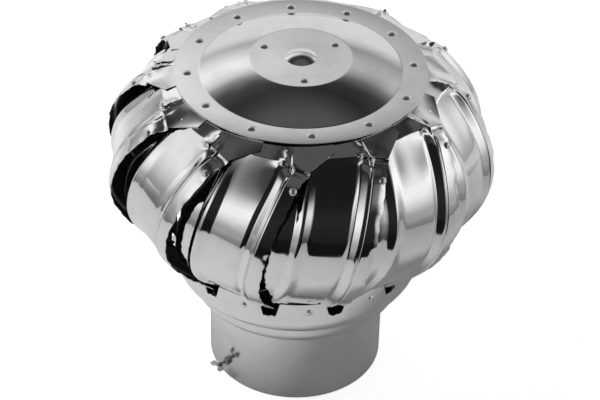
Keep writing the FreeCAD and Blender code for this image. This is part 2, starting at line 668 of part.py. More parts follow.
def tab_height(angle):
    """Upper side of the tab: it rises along the rim, so that each lies over the next."""
    top = size(CAP_UNDER) - size("rivet_fit")
    return top + size("tab_step") * (angle - size("flap_angle")) / (360 / size("vane_count"))


FLANGE_RADIUS = size(SKIRT_RADIUS + " - rotor_sheet - flange_fit")
FLANGE_TOP = size(SKIRT_TOP + " + flange_lift")
RIVET_BEHIND = size("rim_rivet_turn") - 360 / size("vane_count")


def vane_line(across, proud):
    """Points of one line on the outside of the sheet, with the way to its inside."""
    fold = fold_point(across, proud)
    angle = angle_of(fold)
    down = Vector(0, 0, -1)
    bend = polar(size(TAB_BEND), angle, tab_height(angle))
    fall = (fold - bend).normalize()
    side = polar(1, angle + 90, 0)
    under_slope = side.cross(fall)
    if under_slope.z > 0:
        under_slope = under_slope * -1
    foot = size(SKIRT_TOP + " + foot_lift") - size("foot_fall") * across
    last = travel_to(foot + size("margin_cut") if across == LEFT_EDGE else foot)
    panel = [on_vane(across, proud, last * step / PANEL_SECTIONS) for step in range(1, PANEL_SECTIONS + 1)]
    return {
        "tab": (polar(size(TAB_INNER), angle, tab_height(angle)), down),
        "bend": (bend, (down + under_slope).normalize()),
        "fold": (fold, (under_slope - panel[0][1]).normalize()),
        "panel": [(point, normal * -1) for point, normal in panel],
    }


def smooth_edge(points):
    """One smooth edge through points, with the same steps for each line."""
    curve = Part.BSplineCurve()
    steps = [step / (len(points) - 1) for step in range(len(points))]
    curve.interpolate(Points=points, Parameters=steps)
    return curve.toShape()


def straight_edge(start, end):
    return Part.LineSegment(start, end).toShape()


def inner(pair):
    point, inward = pair
    return point + inward * SHEET_VANE


def flange_arc(first, last):
    """The edge on the skirt's cylinder between two points of one height."""
    radius = math.hypot(first.x, first.y)
    between = polar(radius, (angle_of(first) + angle_of(last)) / 2, first.z)
    return Part.Arc(first, between, last).toShape()


def vane_shell(deep):
    """The edges of one side of the sheet: deep is False outside and True inside."""
    place = inner if deep else (lambda pair: pair[0])
    radius = FLANGE_RADIUS - SHEET_VANE if deep else FLANGE_RADIUS
    lines = [vane_line(across, proud) for across, proud in VANE_LINES]
    feet = [place(line["panel"][-1]) for line in lines]
    angles = [angle_of(line["panel"][-1][0]) for line in lines[FLANGE_START:FLANGE_END + 1]]
    middle = (angles[0] + angles[-1]) / 2
    squeeze = size("flange_span") / (angles[-1] - angles[0])
    flange_middle = RIVET_BEHIND + size("flange_shift")
    turns = [flange_middle + (angle - middle) * squeeze for angle in angles]
    flap = size("flap_angle")
    flap_place = polar(size("cap_radius + flap_reach"), flap, size("cap_height - flap_drop"))
    corner = (flap_place, Vector(0, 0, -1))
    flap_bend = (polar(size(TAB_BEND), flap, tab_height(flap)), Vector(0, 0, -1))
    flap_tab = (polar(size(TAB_INNER), flap, tab_height(flap)), Vector(0, 0, -1))
    rows = {
        "tab": [place(line["tab"]) for line in lines] + [place(flap_tab)],
        "bend": [place(line["bend"]) for line in lines] + [place(flap_bend)],
        "fold": [place(line["fold"]) for line in lines] + [place(corner)],
        "foot": feet[FLANGE_START:FLANGE_END + 1],
        "top": [polar(radius, turn, FLANGE_TOP) for turn in turns],
        "low": [polar(radius, turn, FLANGE_TOP - size("flange_tall")) for turn in turns],
    }
    panels = [
        smooth_edge([place(line["fold"])] + [place(pair) for pair in line["panel"]]) for line in lines
    ]
    across = {}
    for row in ("tab", "bend", "fold", "foot"):
        across[row] = [straight_edge(a, b) for a, b in zip(rows[row], rows[row][1:])]
    free = feet[:FLANGE_START + 1], feet[FLANGE_END:]
    across["cut"] = [straight_edge(a, b) for feet_there in free for a, b in zip(feet_there, feet_there[1:])]
    for row in ("top", "low"):
        across[row] = [flange_arc(a, b) for a, b in zip(rows[row], rows[row][1:])]
    return rows, panels, across


def make_vane():
    """The closed sheet of one vane, with its rivet holes."""
    outer_side, inner_side = vane_shell(False), vane_shell(True)
    faces = []
    for rows, panels, across in (outer_side, inner_side):
        for upper, lower in (("tab", "bend"), ("bend", "fold"), ("foot", "top")):
            for first, second in zip(across[upper], across[lower]):
                faces.append(Part.makeRuledSurface(first, second))
        for arc in across["top"]:
            faces.append(arc.extrude(Vector(0, 0, -size("flange_tall"))))
        for first, second in zip(panels, panels[1:]):
            faces.append(Part.makeRuledSurface(first, second))
    for first, second in zip(outer_side[2]["tab"], inner_side[2]["tab"]):
        faces.append(Part.makeRuledSurface(first, second))
    for first, second in zip(outer_side[2]["low"], inner_side[2]["low"]):
        ends = [straight_edge(first.Vertexes[end].Point, second.Vertexes[end].Point) for end in (0, 1)]
        faces.append(Part.Face(Part.Wire(Part.__sortEdges__([first, second] + ends))))
    faces.append(Part.makeRuledSurface(outer_side[2]["fold"][-1], inner_side[2]["fold"][-1]))
    for line, steps in ((0, ("tab", "bend", "fold")), (-1, ("tab", "bend", "fold"))):
        for upper, lower in zip(steps, steps[1:]):
            faces.append(Part.makeRuledSurface(*[
                straight_edge(side[0][upper][line], side[0][lower][line])
                for side in (outer_side, inner_side)]))
    for first, second in zip(outer_side[2]["cut"], inner_side[2]["cut"]):
        faces.append(Part.makeRuledSurface(first, second))
    for line in (0, -1):
        faces.append(Part.makeRuledSurface(outer_side[1][line], inner_side[1][line]))
        for upper, lower in (("foot", "top"), ("top", "low")):
            faces.append(Part.makeRuledSurface(*[
                straight_edge(side[0][upper][line], side[0][lower][line])
                for side in (outer_side, inner_side)]))
    shell = Part.Shell(faces)
    shell.sewShape()
    vane = Part.Solid(shell)
    if vane.Volume < 0:
        vane.reverse()
    return vane


# Rivets and their holes in the first vane: where each stands, and which way its head faces.
VANE_STEP = 360 / size("vane_count")
RIM_RIVET = polar(size(RIM_RIVET_CIRCLE), size("rim_rivet_turn"), size("cap_height"))
SKIRT_RIVET = polar(size(SKIRT_RADIUS), RIVET_BEHIND, size(SKIRT_RIVET_HEIGHT))
SKIRT_FACING = polar(1, RIVET_BEHIND, 0)
HOLE_RADIUS = size("rivet_shank + rivet_fit")
HOLE_DEPTH = 2.5 * size("rivet_head")


def hem_seat():
    """The middle of the hem at its rivet, raised on the curve, and the way the hem faces."""
    travel = travel_to(size("cap_height - fold_drop - hem_rivet_drop"))
    near, far = (on_vane(*line, travel)[0] for line in VANE_LINES[-2:])
    near_low, far_low = (on_vane(*line, travel + SHEET_VANE)[0] for line in VANE_LINES[-2:])
    middle = (near + far) * 0.5
    facing = (far - near).cross(middle - (near_low + far_low) * 0.5).normalize()
    return middle + facing * size("hem_rivet_seat"), facing


HEM_RIVET, HEM_FACING = hem_seat()


def hole(place, facing):
    """A round hole through the sheet at a rivet."""
    start = place - facing * (HOLE_DEPTH / 2)
    return Part.makeCylinder(HOLE_RADIUS, HOLE_DEPTH, start, facing)


def turned_about_axis(point, angle):
    return Rotation(Vector(0, 0, 1), angle).multVec(point)


UP = Vector(0, 0, 1)
vane_blank = make_vane()
vane_shape = vane_blank.cut([
    hole(RIM_RIVET, UP),
    hole(turned_about_axis(RIM_RIVET, -VANE_STEP), UP),
    hole(SKIRT_RIVET, SKIRT_FACING),
    hole(HEM_RIVET, HEM_FACING),
]).Solids[0]
vanes = []
for number in range(int(size("vane_count"))):
    vane = doc.addObject("Part::Feature", "vane_%02d" % (number + 1))
    vane.Label = vane.Name
    vane.Shape = vane_shape
    vane.Placement = Placement(Vector(0, 0, 0), Rotation(UP, size("first_pinch") + number * VANE_STEP))
    vanes.append(vane)


def rivet_group(name, place, facing, head, grip, count):
    """Blind rivets all round the Z axis: a domed head and a shank as long as the grip."""
    body = new_body(name)
    side = UP.cross(facing)
    side = side.normalize() if side.Length > 0.01 else Vector(1, 0, 0)
    offset = Placement(place, Rotation(side, facing, side.cross(facing), "ZXY"))
    dome = "((pow(%s; 2) + pow(rivet_crown; 2)) / (2 * rivet_crown))" % head
    sketch = draw_profile(body, "XY_Plane", [
        ("0 * rivet_crown", "rivet_crown"),
        (head, "0 * rivet_crown"),
        ("rivet_shank", "0 * rivet_crown"),
        ("rivet_shank", "0 - (%s)" % grip),
        ("0 * rivet_crown", "0 - (%s)" % grip),
    ], {0: (dome, -1)}, offset)
    rivet = revolve(body, sketch)
    repeat_round(body, rivet, name + "_round", count)
    return body


def at_first_pinch(point):
    return turned_about_axis(point, size("first_pinch"))


rivet_groups = [
    rivet_group("rim_rivets", at_first_pinch(RIM_RIVET), UP, "rivet_head",
                "rotor_sheet + 2 * tab_step + vane_sheet", "vane_count"),
    rivet_group("hub_rivets",
                polar(size(HUB_RIVET_CIRCLE), size("hub_rivet_turn"), size(BOSS_TOP)), UP, "rivet_head",
                "rotor_sheet + housing_sheet + rivet_crown", "3"),
    rivet_group("skirt_rivets", at_first_pinch(SKIRT_RIVET), at_first_pinch(SKIRT_FACING),
                "small_rivet_head", "vane_sheet + rotor_sheet + rivet_crown", "vane_count"),
    rivet_group("hem_rivets", at_first_pinch(HEM_RIVET), at_first_pinch(HEM_FACING),
                "small_rivet_head", "vane_sheet + rivet_crown", "vane_count"),
]


# The clamp screws: a nut welded on the neck and a wing screw in it, on two sides of the neck.
def radial_placement(radius, angle):
    """A frame on the neck whose own Z points straight out."""
    outward = polar(1, angle, 0)
    spot = outward * radius + UP * size("clamp_height")
    return Placement(spot, Rotation(UP.cross(outward), UP, outward, "ZYX"))


clamp_nuts = []
clamp_screws = []
for side, letter in enumerate("ab"):
    turn = size("clamp_turn") + 180 * side
    prism = doc.addObject("Part::Prism", "clamp_nut_%s_prism" % letter)
    prism.Polygon = 6
    prism.setExpression("Circumradius", in_sheet("clamp_nut_flats / 2 / cos(30)"))
    prism.setExpression("Height", in_sheet("clamp_nut_tall"))
    bore = doc.addObject("Part::Cylinder", "clamp_nut_%s_bore" % letter)
    bore.setExpression("Radius", in_sheet("clamp_radius + bolt_fit"))
    bore.setExpression("Height", in_sheet("clamp_nut_tall"))
    nut = doc.addObject("Part::Cut", "clamp_nut_%s" % letter)
    nut.Base = prism
    nut.Tool = bore
    nut.Placement = radial_placement(size(NECK_OUTER), turn)
    clamp_nuts.append(nut)

    shank = doc.addObject("Part::Cylinder", "clamp_shank_%s" % letter)
    shank.setExpression("Radius", in_sheet("clamp_radius"))
    shank.setExpression("Height", in_sheet("neck_sheet + clamp_nut_tall + clamp_out"))
    head = doc.addObject("Part::Cone", "clamp_head_%s" % letter)
    head.setExpression("Radius1", in_sheet("clamp_head"))
    head.setExpression("Radius2", in_sheet("clamp_radius"))
    head.setExpression("Height", in_sheet("clamp_head_tall"))
    head.setExpression("Placement.Base.z", in_sheet("neck_sheet + clamp_nut_tall + clamp_out"))
    wings = doc.addObject("Part::Box", "clamp_wings_%s" % letter)
    wings.setExpression("Length", in_sheet("2 * wing_span"))
    wings.setExpression("Width", in_sheet("wing_thick"))
    wings.setExpression("Height", in_sheet("wing_tall"))
    wings.setExpression("Placement.Base.x", in_sheet("0 - wing_span"))
    wings.setExpression("Placement.Base.y", in_sheet("0 - wing_thick / 2"))
    wings.setExpression("Placement.Base.z",
                        in_sheet("neck_sheet + clamp_nut_tall + clamp_out + clamp_head_tall / 2"))
    notch = doc.addObject("Part::Cylinder", "clamp_notch_%s" % letter)
    notch.setExpression("Radius", in_sheet("clamp_head"))
    notch.setExpression("Height", in_sheet("2 * wing_thick"))
    notch.Placement = Placement(Vector(0, size("wing_thick"), 0), Rotation(Vector(1, 0, 0), 90))
    notch.setExpression("Placement.Base.z", in_sheet(
        "neck_sheet + clamp_nut_tall + clamp_out + clamp_head_tall / 2 + wing_tall + clamp_head / 3"))
    wing_pair = doc.addObject("Part::Cut", "clamp_wing_pair_%s" % letter)
    wing_pair.Base = wings
    wing_pair.Tool = notch
    screw = doc.addObject("Part::MultiFuse", "clamp_screw_%s" % letter)
    screw.Shapes = [shank, head, wing_pair]
    screw.Label = screw.Name
    screw.Placement = radial_placement(size(NECK_INNER), turn)
    clamp_screws.append(screw)
nuts_together = doc.addObject("Part::Compound", "clamp_nuts")
nuts_together.Links = clamp_nuts
nuts_together.Label = "clamp_nuts"

doc.recompute()

# Every piece that is written out, and how many separate solids it holds.
GROUPS = {"rim_rivets": 12, "hub_rivets": 3, "skirt_rivets": 12, "hem_rivets": 12, "clamp_nuts": 2}
bodies = [item for item in doc.Objects if item.TypeId == "PartDesign::Body"]
pieces = bodies + cross_straps + [strap_nut, lock_nut, circlip, nuts_together] + clamp_screws + vanes
for item in doc.Objects:
    if "Invalid" in item.State or "Error" in item.State:
        raise RuntimeError("%s did not build" % item.Name)
for piece in pieces:
    if piece.Shape.isNull() or not piece.Shape.isValid():
        raise RuntimeError("%s has no valid shape" % piece.Label)
    if piece.Label not in GROUPS and len(piece.Shape.Solids) != 1:
        raise RuntimeError("%s is not one solid" % piece.Label)

os.makedirs("parts", exist_ok=True)
for piece in pieces:
    piece.Shape.exportStep("parts/%s.step" % piece.Label)
    print("%-18s %3d solids %9.0f mm3" % (piece.Label, len(piece.Shape.Solids), piece.Shape.Volume))
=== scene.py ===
# %% [markdown]
# # A polished rotating chimney cowl
# Wind catches the leaning vanes and turns the rotor on two bearings over a fixed neck.
# The CAD frame gives every piece its place. This file gives the sheet metal its smooth
# form and its mirror finish, and then sets up the studio that the mirror shows.

# %% Load the frame
import json
import math

import bmesh
import bpy
import numpy as np
from mathutils import Matrix, Vector


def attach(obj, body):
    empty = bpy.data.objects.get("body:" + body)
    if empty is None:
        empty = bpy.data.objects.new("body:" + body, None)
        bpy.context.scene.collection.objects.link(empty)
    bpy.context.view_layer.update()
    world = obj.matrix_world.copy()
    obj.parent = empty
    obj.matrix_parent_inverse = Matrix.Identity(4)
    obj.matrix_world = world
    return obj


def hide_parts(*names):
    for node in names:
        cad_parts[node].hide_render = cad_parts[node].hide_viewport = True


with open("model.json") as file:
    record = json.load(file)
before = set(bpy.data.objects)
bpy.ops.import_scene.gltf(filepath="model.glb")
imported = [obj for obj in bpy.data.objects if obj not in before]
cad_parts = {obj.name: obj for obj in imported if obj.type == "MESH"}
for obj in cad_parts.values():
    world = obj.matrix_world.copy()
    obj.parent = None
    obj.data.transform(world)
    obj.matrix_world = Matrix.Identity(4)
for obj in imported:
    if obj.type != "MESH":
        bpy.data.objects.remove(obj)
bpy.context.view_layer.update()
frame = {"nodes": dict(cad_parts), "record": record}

# %% [markdown]
# ## Sizes
# The sheet metal is drawn again here from the same few sizes as the CAD model, in metres.
# Lengths are written in millimetres and multiplied by MM, so they read like a drawing.

# %% Sizes shared with the CAD model
MM = 0.001
VANES = 12
VANE_STEP = 2 * math.pi / VANES
FIRST_PINCH = math.radians(-91.5)
NECK_OUTER = 76.0 * MM
NECK_TALL = 75.6 * MM
NECK_SHEET = 0.6 * MM
FLARE_OUTER = 93.0 * MM
FLARE_ROLL = 13.0 * MM
RIM_TALL = 12.0 * MM
ROTOR_SHEET = 0.8 * MM
SKIRT_ROLL = 16.0 * MM
SKIRT_LIP_ANGLE = math.radians(76)
LIP_RADIUS = 95.07 * MM
LIP_HEIGHT = 96.5 * MM
SKIRT_TOP = 133.5 * MM
NOTCH_WIDE = 18.0 * MM
NOTCH_FLOOR = 11.0 * MM
NOTCH_DEEP = 14.0 * MM
CAP_RADIUS = 104.8 * MM
CAP_HEIGHT = 297.6 * MM
DOME_RADIUS = 83.9 * MM
DOME_RISE = 11.5 * MM
DOME_ROUND = 240 * MM
BOSS_RADIUS = 42.5 * MM
BUMP_RADIUS = 13.0 * MM
BUMP_RISE = 3.5 * MM
VANE_SHEET = 0.6 * MM

# %% [markdown]
# ## Finishes
# Everything is bare steel, so one shader group makes the marks that all the sheets share:
# a slow waviness that bends reflections, fine polishing lines, and smudges that dull them.
# Its outputs feed Roughness and the Height of a Bump node. The Principled BSDF itself stays
# in each material, with the sheet's colour and plain values set on its own sockets.

# %% A shader group for sheet steel
WAVES_A_METRE = 22.0
SMUDGES_A_METRE = 45.0
LINES_A_METRE = 900.0
LINE_STRETCH = 14.0
PATCH_EDGE = 5.0
PATCH_SHARE = 0.2


def new_group(name, inputs, outputs):
    """An empty shader group with float inputs (name, default) and float outputs."""
    tree = bpy.data.node_groups.new(name, "ShaderNodeTree")
    for socket_name, value in inputs:
        socket = tree.interface.new_socket(socket_name, in_out="INPUT", socket_type="NodeSocketFloat")
        socket.default_value = value
    for socket_name in outputs:
        tree.interface.new_socket(socket_name, in_out="OUTPUT", socket_type="NodeSocketFloat")
    entry = tree.nodes.new("NodeGroupInput")
    leave = tree.nodes.new("NodeGroupOutput")
    return tree, entry, leave


def plug(tree, value, socket):
    """Links a socket to another one, or sets it to a plain value."""
    if isinstance(value, bpy.types.NodeSocket):
        tree.links.new(value, socket)
    else:
        socket.default_value = value


def calculate(tree, operation, first, second=None, clamp=False):
    """A Math node; each operand is a socket or a number."""
    node = tree.nodes.new("ShaderNodeMath")
    node.operation = operation
    node.use_clamp = clamp
    for value, socket in zip((first, second), node.inputs):
        if value is not None:
            plug(tree, value, socket)
    return node.outputs[0]


def noise(tree, vector, scale, detail=2.0, roughness=0.5):
    node = tree.nodes.new("ShaderNodeTexNoise")
    tree.links.new(vector, node.inputs["Vector"])
    node.inputs["Scale"].default_value = scale
    node.inputs["Detail"].default_value = detail
    node.inputs["Roughness"].default_value = roughness
    return node.outputs["Fac"]


def stretch(tree, vector, scale):
    node = tree.nodes.new("ShaderNodeMapping")
    tree.links.new(vector, node.inputs["Vector"])
    node.inputs["Scale"].default_value = scale
    return node.outputs["Vector"]


def build_sheet_group():
    """Roughness and bump height of handled, polished sheet, over object coordinates in metres."""
    inputs = [("Base Roughness", 0.05), ("Smudge", 0.05), ("Wave", 0.3), ("Grain", 0.1)]
    tree, entry, leave = new_group("PolishedSheet", inputs, ["Roughness", "Height", "Mask"])
    place = tree.nodes.new("ShaderNodeTexCoord").outputs["Object"]
    wave = noise(tree, place, WAVES_A_METRE, 1.0)
    smudge = noise(tree, stretch(tree, place, (1.0, 1.0, 1.6)), SMUDGES_A_METRE, 5.0, 0.62)
    patch = calculate(tree, "SUBTRACT", smudge, 0.5)
    patch = calculate(tree, "MULTIPLY", patch, PATCH_EDGE)
    patch = calculate(tree, "ADD", patch, PATCH_SHARE, clamp=True)
    grain = noise(tree, stretch(tree, place, (1.0, 1.0, LINE_STRETCH)), LINES_A_METRE, 2.0)
    rough = calculate(tree, "MULTIPLY", patch, entry.outputs["Smudge"])
    rough = calculate(tree, "ADD", rough, entry.outputs["Base Roughness"], clamp=True)
    low = calculate(tree, "MULTIPLY", wave, entry.outputs["Wave"])
    fine = calculate(tree, "MULTIPLY", grain, entry.outputs["Grain"])
    height = calculate(tree, "ADD", low, fine)
    tree.links.new(rough, leave.inputs["Roughness"])
    tree.links.new(height, leave.inputs["Height"])
    tree.links.new(patch, leave.inputs["Mask"])
    return tree


SHEET_GROUP = build_sheet_group()
print("shader group", SHEET_GROUP.name, "has", len(SHEET_GROUP.nodes), "nodes")

# %% [markdown]
# Painted shade darkens the inside of the cowl. A second group finds where: a face is inside where its
# normal points back to the axis, or, on the neck, where the sheet is up inside the rotor.

# %% A shader group that paints shade on the inside
# The dark grey and the roughness that the inside takes: painted shade, not a colour of the steel.
INSIDE_SHADE_LEVEL = 0.12
INSIDE_SHADE_ROUGH = 0.45
FACING_IN = -0.008


# A mask for painted shade: faces turned to the axis, and everything above a given height.
def build_inside_shade_group():
    tree, entry, leave = new_group("PaintedInsideShade", [("Height", 1.0)], ["Mask"])
    source = tree.nodes.new("ShaderNodeTexCoord")
    parts = tree.nodes.new("ShaderNodeSeparateXYZ")
    tree.links.new(source.outputs["Object"], parts.inputs["Vector"])
    flat = stretch(tree, source.outputs["Object"], (1.0, 1.0, 0.0))
    facing = tree.nodes.new("ShaderNodeVectorMath")
    facing.operation = "DOT_PRODUCT"
    tree.links.new(source.outputs["Normal"], facing.inputs[0])
    tree.links.new(flat, facing.inputs[1])
    inward = calculate(tree, "LESS_THAN", facing.outputs["Value"], FACING_IN)
    above = calculate(tree, "GREATER_THAN", parts.outputs["Z"], entry.outputs["Height"])
    tree.links.new(calculate(tree, "MAXIMUM", inward, above), leave.inputs["Mask"])
    return tree


INSIDE_SHADE_GROUP = build_inside_shade_group()
print("shader group", INSIDE_SHADE_GROUP.name, "has", len(INSIDE_SHADE_GROUP.nodes), "nodes")

# %% [markdown]
# The vanes are the brightest sheet and the neck the dullest. The CAD pieces that show as they
# are, such as rivets, screws and bearings, take their steel from their material slot.


# %% Steel materials
SMUDGE_TINT = 0.06
BUMP_HEIGHT = 0.6 * MM
# Heights above which painted shade covers the whole sheet: nowhere, and on the neck up inside the rotor.
NOWHERE = 1.0
UP_INSIDE = 97.0 * MM


def mixed(tree, kind, share, first, second):
    """A Mix node whose ends are sockets or plain values."""
    node = tree.nodes.new("ShaderNodeMix")
    node.data_type = kind
    tree.links.new(share, node.inputs["Factor"])
    ends = [socket for socket in node.inputs if socket.enabled and socket.name in ("A", "B")]
    for value, socket in zip((first, second), ends):
        plug(tree, value, socket)
    return next(socket for socket in node.outputs if socket.enabled)


def steel(name, color, rough, smudge, wave, grain, painted_shade_above=None):
    """Bare steel: the sheet group drives roughness and bump, a smudge mask tints the colour, and an inside
    mask paints shade on it.
    """
    material = bpy.data.materials.new(name)
    material.use_nodes = True
    tree = material.node_tree
    shader = tree.nodes["Principled BSDF"]
    shader.inputs["Metallic"].default_value = 1.0
    group = tree.nodes.new("ShaderNodeGroup")
    group.node_tree = SHEET_GROUP
    group.inputs["Base Roughness"].default_value = rough
    group.inputs["Smudge"].default_value = smudge
    group.inputs["Wave"].default_value = wave
    group.inputs["Grain"].default_value = grain
    shaded = [channel * (1 - SMUDGE_TINT) for channel in color]
    base = mixed(tree, "RGBA", group.outputs["Mask"], (*color, 1), (*shaded, 1))
    roughness = group.outputs["Roughness"]
    # Painted shade: faces inside the cowl, and all faces above the given height, are made dark grey and
    # rough.
    if painted_shade_above is not None:
        inside_shade = tree.nodes.new("ShaderNodeGroup")
        inside_shade.node_tree = INSIDE_SHADE_GROUP
        inside_shade.inputs["Height"].default_value = painted_shade_above
        base = mixed(tree, "RGBA", inside_shade.outputs["Mask"], base, (INSIDE_SHADE_LEVEL, INSIDE_SHADE_LEVEL, INSIDE_SHADE_LEVEL, 1))
        roughness = mixed(tree, "FLOAT", inside_shade.outputs["Mask"], roughness, INSIDE_SHADE_ROUGH)
    tree.links.new(base, shader.inputs["Base Color"])
    tree.links.new(roughness, shader.inputs["Roughness"])
    relief = tree.nodes.new("ShaderNodeBump")
    relief.inputs["Strength"].default_value = 1.0
    relief.inputs["Distance"].default_value = BUMP_HEIGHT
    tree.links.new(group.outputs["Height"], relief.inputs["Height"])
    tree.links.new(relief.outputs["Normal"], shader.inputs["Normal"])
    return material


VANE_STEEL = steel("vane_steel", (0.80, 0.80, 0.79), rough=0.045, smudge=0.05, wave=0.25, grain=0.006,
                   painted_shade_above=NOWHERE)
CAP_STEEL = steel("cap_steel", (0.79, 0.79, 0.78), rough=0.07, smudge=0.07, wave=0.3, grain=0.01)
NECK_STEEL = steel("neck_steel", (0.76, 0.76, 0.75), rough=0.11, smudge=0.06, wave=0.2, grain=0.02,
                   painted_shade_above=UP_INSIDE)
SKIRT_STEEL = steel("skirt_steel", (0.79, 0.79, 0.78), rough=0.06, smudge=0.05, wave=0.25, grain=0.01,
                    painted_shade_above=NOWHERE)
RIVET_STEEL = steel("rivet_steel", (0.74, 0.74, 0.73), rough=0.3, smudge=0.1, wave=0.1, grain=0.03)
SCREW_STEEL = steel("screw_steel", (0.66, 0.66, 0.64), rough=0.2, smudge=0.12, wave=0.1, grain=0.05)
HUB_STEEL = steel("hub_steel", (0.56, 0.56, 0.55), rough=0.28, smudge=0.12, wave=0.1, grain=0.08)
STRAP_STEEL = steel("strap_steel", (0.58, 0.58, 0.57), rough=0.25, smudge=0.15, wave=0.2, grain=0.06)
RACE_STEEL = steel("race_steel", (0.62, 0.62, 0.63), rough=0.14, smudge=0.06, wave=0.05, grain=0.04)

NODE_FINISH = {
    "strap_steel": STRAP_STEEL, "hub_steel": HUB_STEEL, "race_steel": RACE_STEEL,
    "screw_steel": SCREW_STEEL, "rivet_steel": RIVET_STEEL, "neck_steel": NECK_STEEL,
    "cap_steel": CAP_STEEL, "vane_steel": VANE_STEEL,
}
for part in frame["record"]["subparts"]:
    mesh = frame["nodes"][part["node"]].data
    mesh.materials.clear()
    mesh.materials.append(NODE_FINISH[part["material_slot"]])

# %% [markdown]
# ## Turned sheets
# The neck, the skirt and the cap were spun on a lathe: each is one profile turned once about
# the axis. A Geometry Nodes tree does the same. It sweeps a profile curve along a circle,
# closes the seam, and can place the result and repeat it round the axis. Both trees of this
# file end in Realize Instances and Set Material.

# %% A Geometry Nodes tree that turns and repeats
SWEEP_RADIUS = 1.0
SHARP_ANGLE = math.radians(50)
TURN_INPUTS = (
    ("Profile", "NodeSocketObject"), ("Segments", "NodeSocketInt"), ("Place", "NodeSocketVector"),
    ("Tilt", "NodeSocketVector"), ("Copies", "NodeSocketInt"), ("Step", "NodeSocketFloat"),
    ("Weld", "NodeSocketFloat"), ("Material", "NodeSocketMaterial"),
)


def add_node(tree, kind, **links):
    """A node whose named inputs are linked to sockets or set to plain values."""
    node = tree.nodes.new(kind)
    for name, value in links.items():
        plug(tree, value, node.inputs[name.replace("_", " ")])
    return node


def repeat_round(tree, geometry, given, first, leave):
    """Ends a tree: the geometry is copied round the axis, made real and given its material."""
    points = add_node(tree, "GeometryNodePoints", Count=given["Copies"])
    index = tree.nodes.new("GeometryNodeInputIndex")
    turn = tree.nodes.new("ShaderNodeMath")
    turn.operation = "MULTIPLY_ADD"
    for value, socket in zip((index.outputs["Index"], given["Step"], first), turn.inputs):
        plug(tree, value, socket)
    about_z = add_node(tree, "ShaderNodeCombineXYZ", Z=turn.outputs["Value"])
    copies = add_node(tree, "GeometryNodeInstanceOnPoints", Points=points.outputs["Points"],
                      Instance=geometry, Rotation=about_z.outputs["Vector"])
    real = add_node(tree, "GeometryNodeRealizeInstances", Geometry=copies.outputs["Instances"])
    painted = add_node(tree, "GeometryNodeSetMaterial", Geometry=real.outputs["Geometry"],
                       Material=given["Material"])
    tree.links.new(painted.outputs["Geometry"], leave.inputs["Geometry"])


def set_inputs(modifier, values):
    """Sets the named inputs of a Geometry Nodes modifier by their sockets' identifiers."""
    for socket in modifier.node_group.interface.items_tree:
        if socket.in_out == "INPUT" and socket.name in values:
            modifier[socket.identifier] = values[socket.name]


def new_tree(name, inputs):
    """An empty Geometry Nodes tree with a geometry, its named inputs and an output."""
    tree = bpy.data.node_groups.new(name, "GeometryNodeTree")
    for socket_name, kind in (("Geometry", "NodeSocketGeometry"), *inputs):
        tree.interface.new_socket(socket_name, in_out="INPUT", socket_type=kind)
    tree.interface.new_socket("Geometry", in_out="OUTPUT", socket_type="NodeSocketGeometry")
    return tree, tree.nodes.new("NodeGroupInput").outputs, tree.nodes.new("NodeGroupOutput")


def build_turn_tree():
    tree, given, leave = new_tree("TurnAndRepeat", TURN_INPUTS)
    profile = add_node(tree, "GeometryNodeObjectInfo", Object=given["Profile"])
    circle = add_node(tree, "GeometryNodeCurvePrimitiveCircle", Resolution=given["Segments"],
                      Radius=SWEEP_RADIUS)
    upright = add_node(tree, "GeometryNodeSetCurveNormal", Curve=circle.outputs["Curve"])
    upright.mode = "Z_UP"
    sweep = add_node(tree, "GeometryNodeCurveToMesh", Curve=upright.outputs["Curve"],
                     Profile_Curve=profile.outputs["Geometry"])
    weld = add_node(tree, "GeometryNodeMergeByDistance", Geometry=sweep.outputs["Mesh"],
                    Distance=given["Weld"])
    placed = add_node(tree, "GeometryNodeTransform", Geometry=weld.outputs["Geometry"],
                      Translation=given["Place"], Rotation=given["Tilt"])
    repeat_round(tree, placed.outputs["Geometry"], given, 0.0, leave)
    return tree


TURN_TREE = build_turn_tree()
print("Geometry Nodes tree", TURN_TREE.name, "has", len(TURN_TREE.nodes), "nodes")


# %% [markdown]
# A profile is a list of corners in radius and height. Between two corners runs a straight
# line, or an arc of a given radius. Sheet metal never has a sharp corner, so the corners
# that show get a small fillet of their own.

# %% Profiles
ARC_STEPS = 14
ROUND_STEPS = 192
CORNER_STEPS = 4
MOST_CUT = 0.45
STRAIGHT = 0.995
ON_AXIS = 0.001 * MM
WELD = 0.01 * MM


def arc_points(start, end, radius, turn):
    """Points after start up to end on an arc; turn is +1 for a left bend and -1 for a right one."""
    start, end = np.array(start), np.array(end)
    chord = end - start
    length = float(np.hypot(*chord))
    rise = math.sqrt(max(radius * radius - length * length / 4, 0))
    across = np.array((-chord[1], chord[0])) / length
    middle = (start + end) / 2 + across * turn * rise
    first = math.atan2(*(start - middle)[::-1])
    last = math.atan2(*(end - middle)[::-1])
    sweep = (last - first) % (2 * math.pi) if turn > 0 else -((first - last) % (2 * math.pi))
    return [
        (middle[0] + radius * math.cos(first + sweep * step / ARC_STEPS),
         middle[1] + radius * math.sin(first + sweep * step / ARC_STEPS))
        for step in range(1, ARC_STEPS + 1)
    ]


def soften(points, radius):
    """Each corner of a closed outline is cut back by radius and rounded."""
    rounded = []
    count = len(points)
    for index, corner in enumerate(points):
        before, after = np.array(points[index - 1]), np.array(points[(index + 1) % count])
        corner = np.array(corner)
        back, ahead = before - corner, after - corner
        reach = min(radius, MOST_CUT * np.hypot(*back), MOST_CUT * np.hypot(*ahead))
        straight = abs(np.dot(back, ahead)) > STRAIGHT * np.hypot(*back) * np.hypot(*ahead)
        if straight or corner[0] < ON_AXIS:
            rounded.append(tuple(corner))
            continue
        start = corner + back / np.hypot(*back) * reach
        end = corner + ahead / np.hypot(*ahead) * reach
        for step in range(CORNER_STEPS + 1):
            share = step / CORNER_STEPS
            rounded.append(tuple((1 - share) ** 2 * start + 2 * share * (1 - share) * corner
                                 + share ** 2 * end))
    return rounded


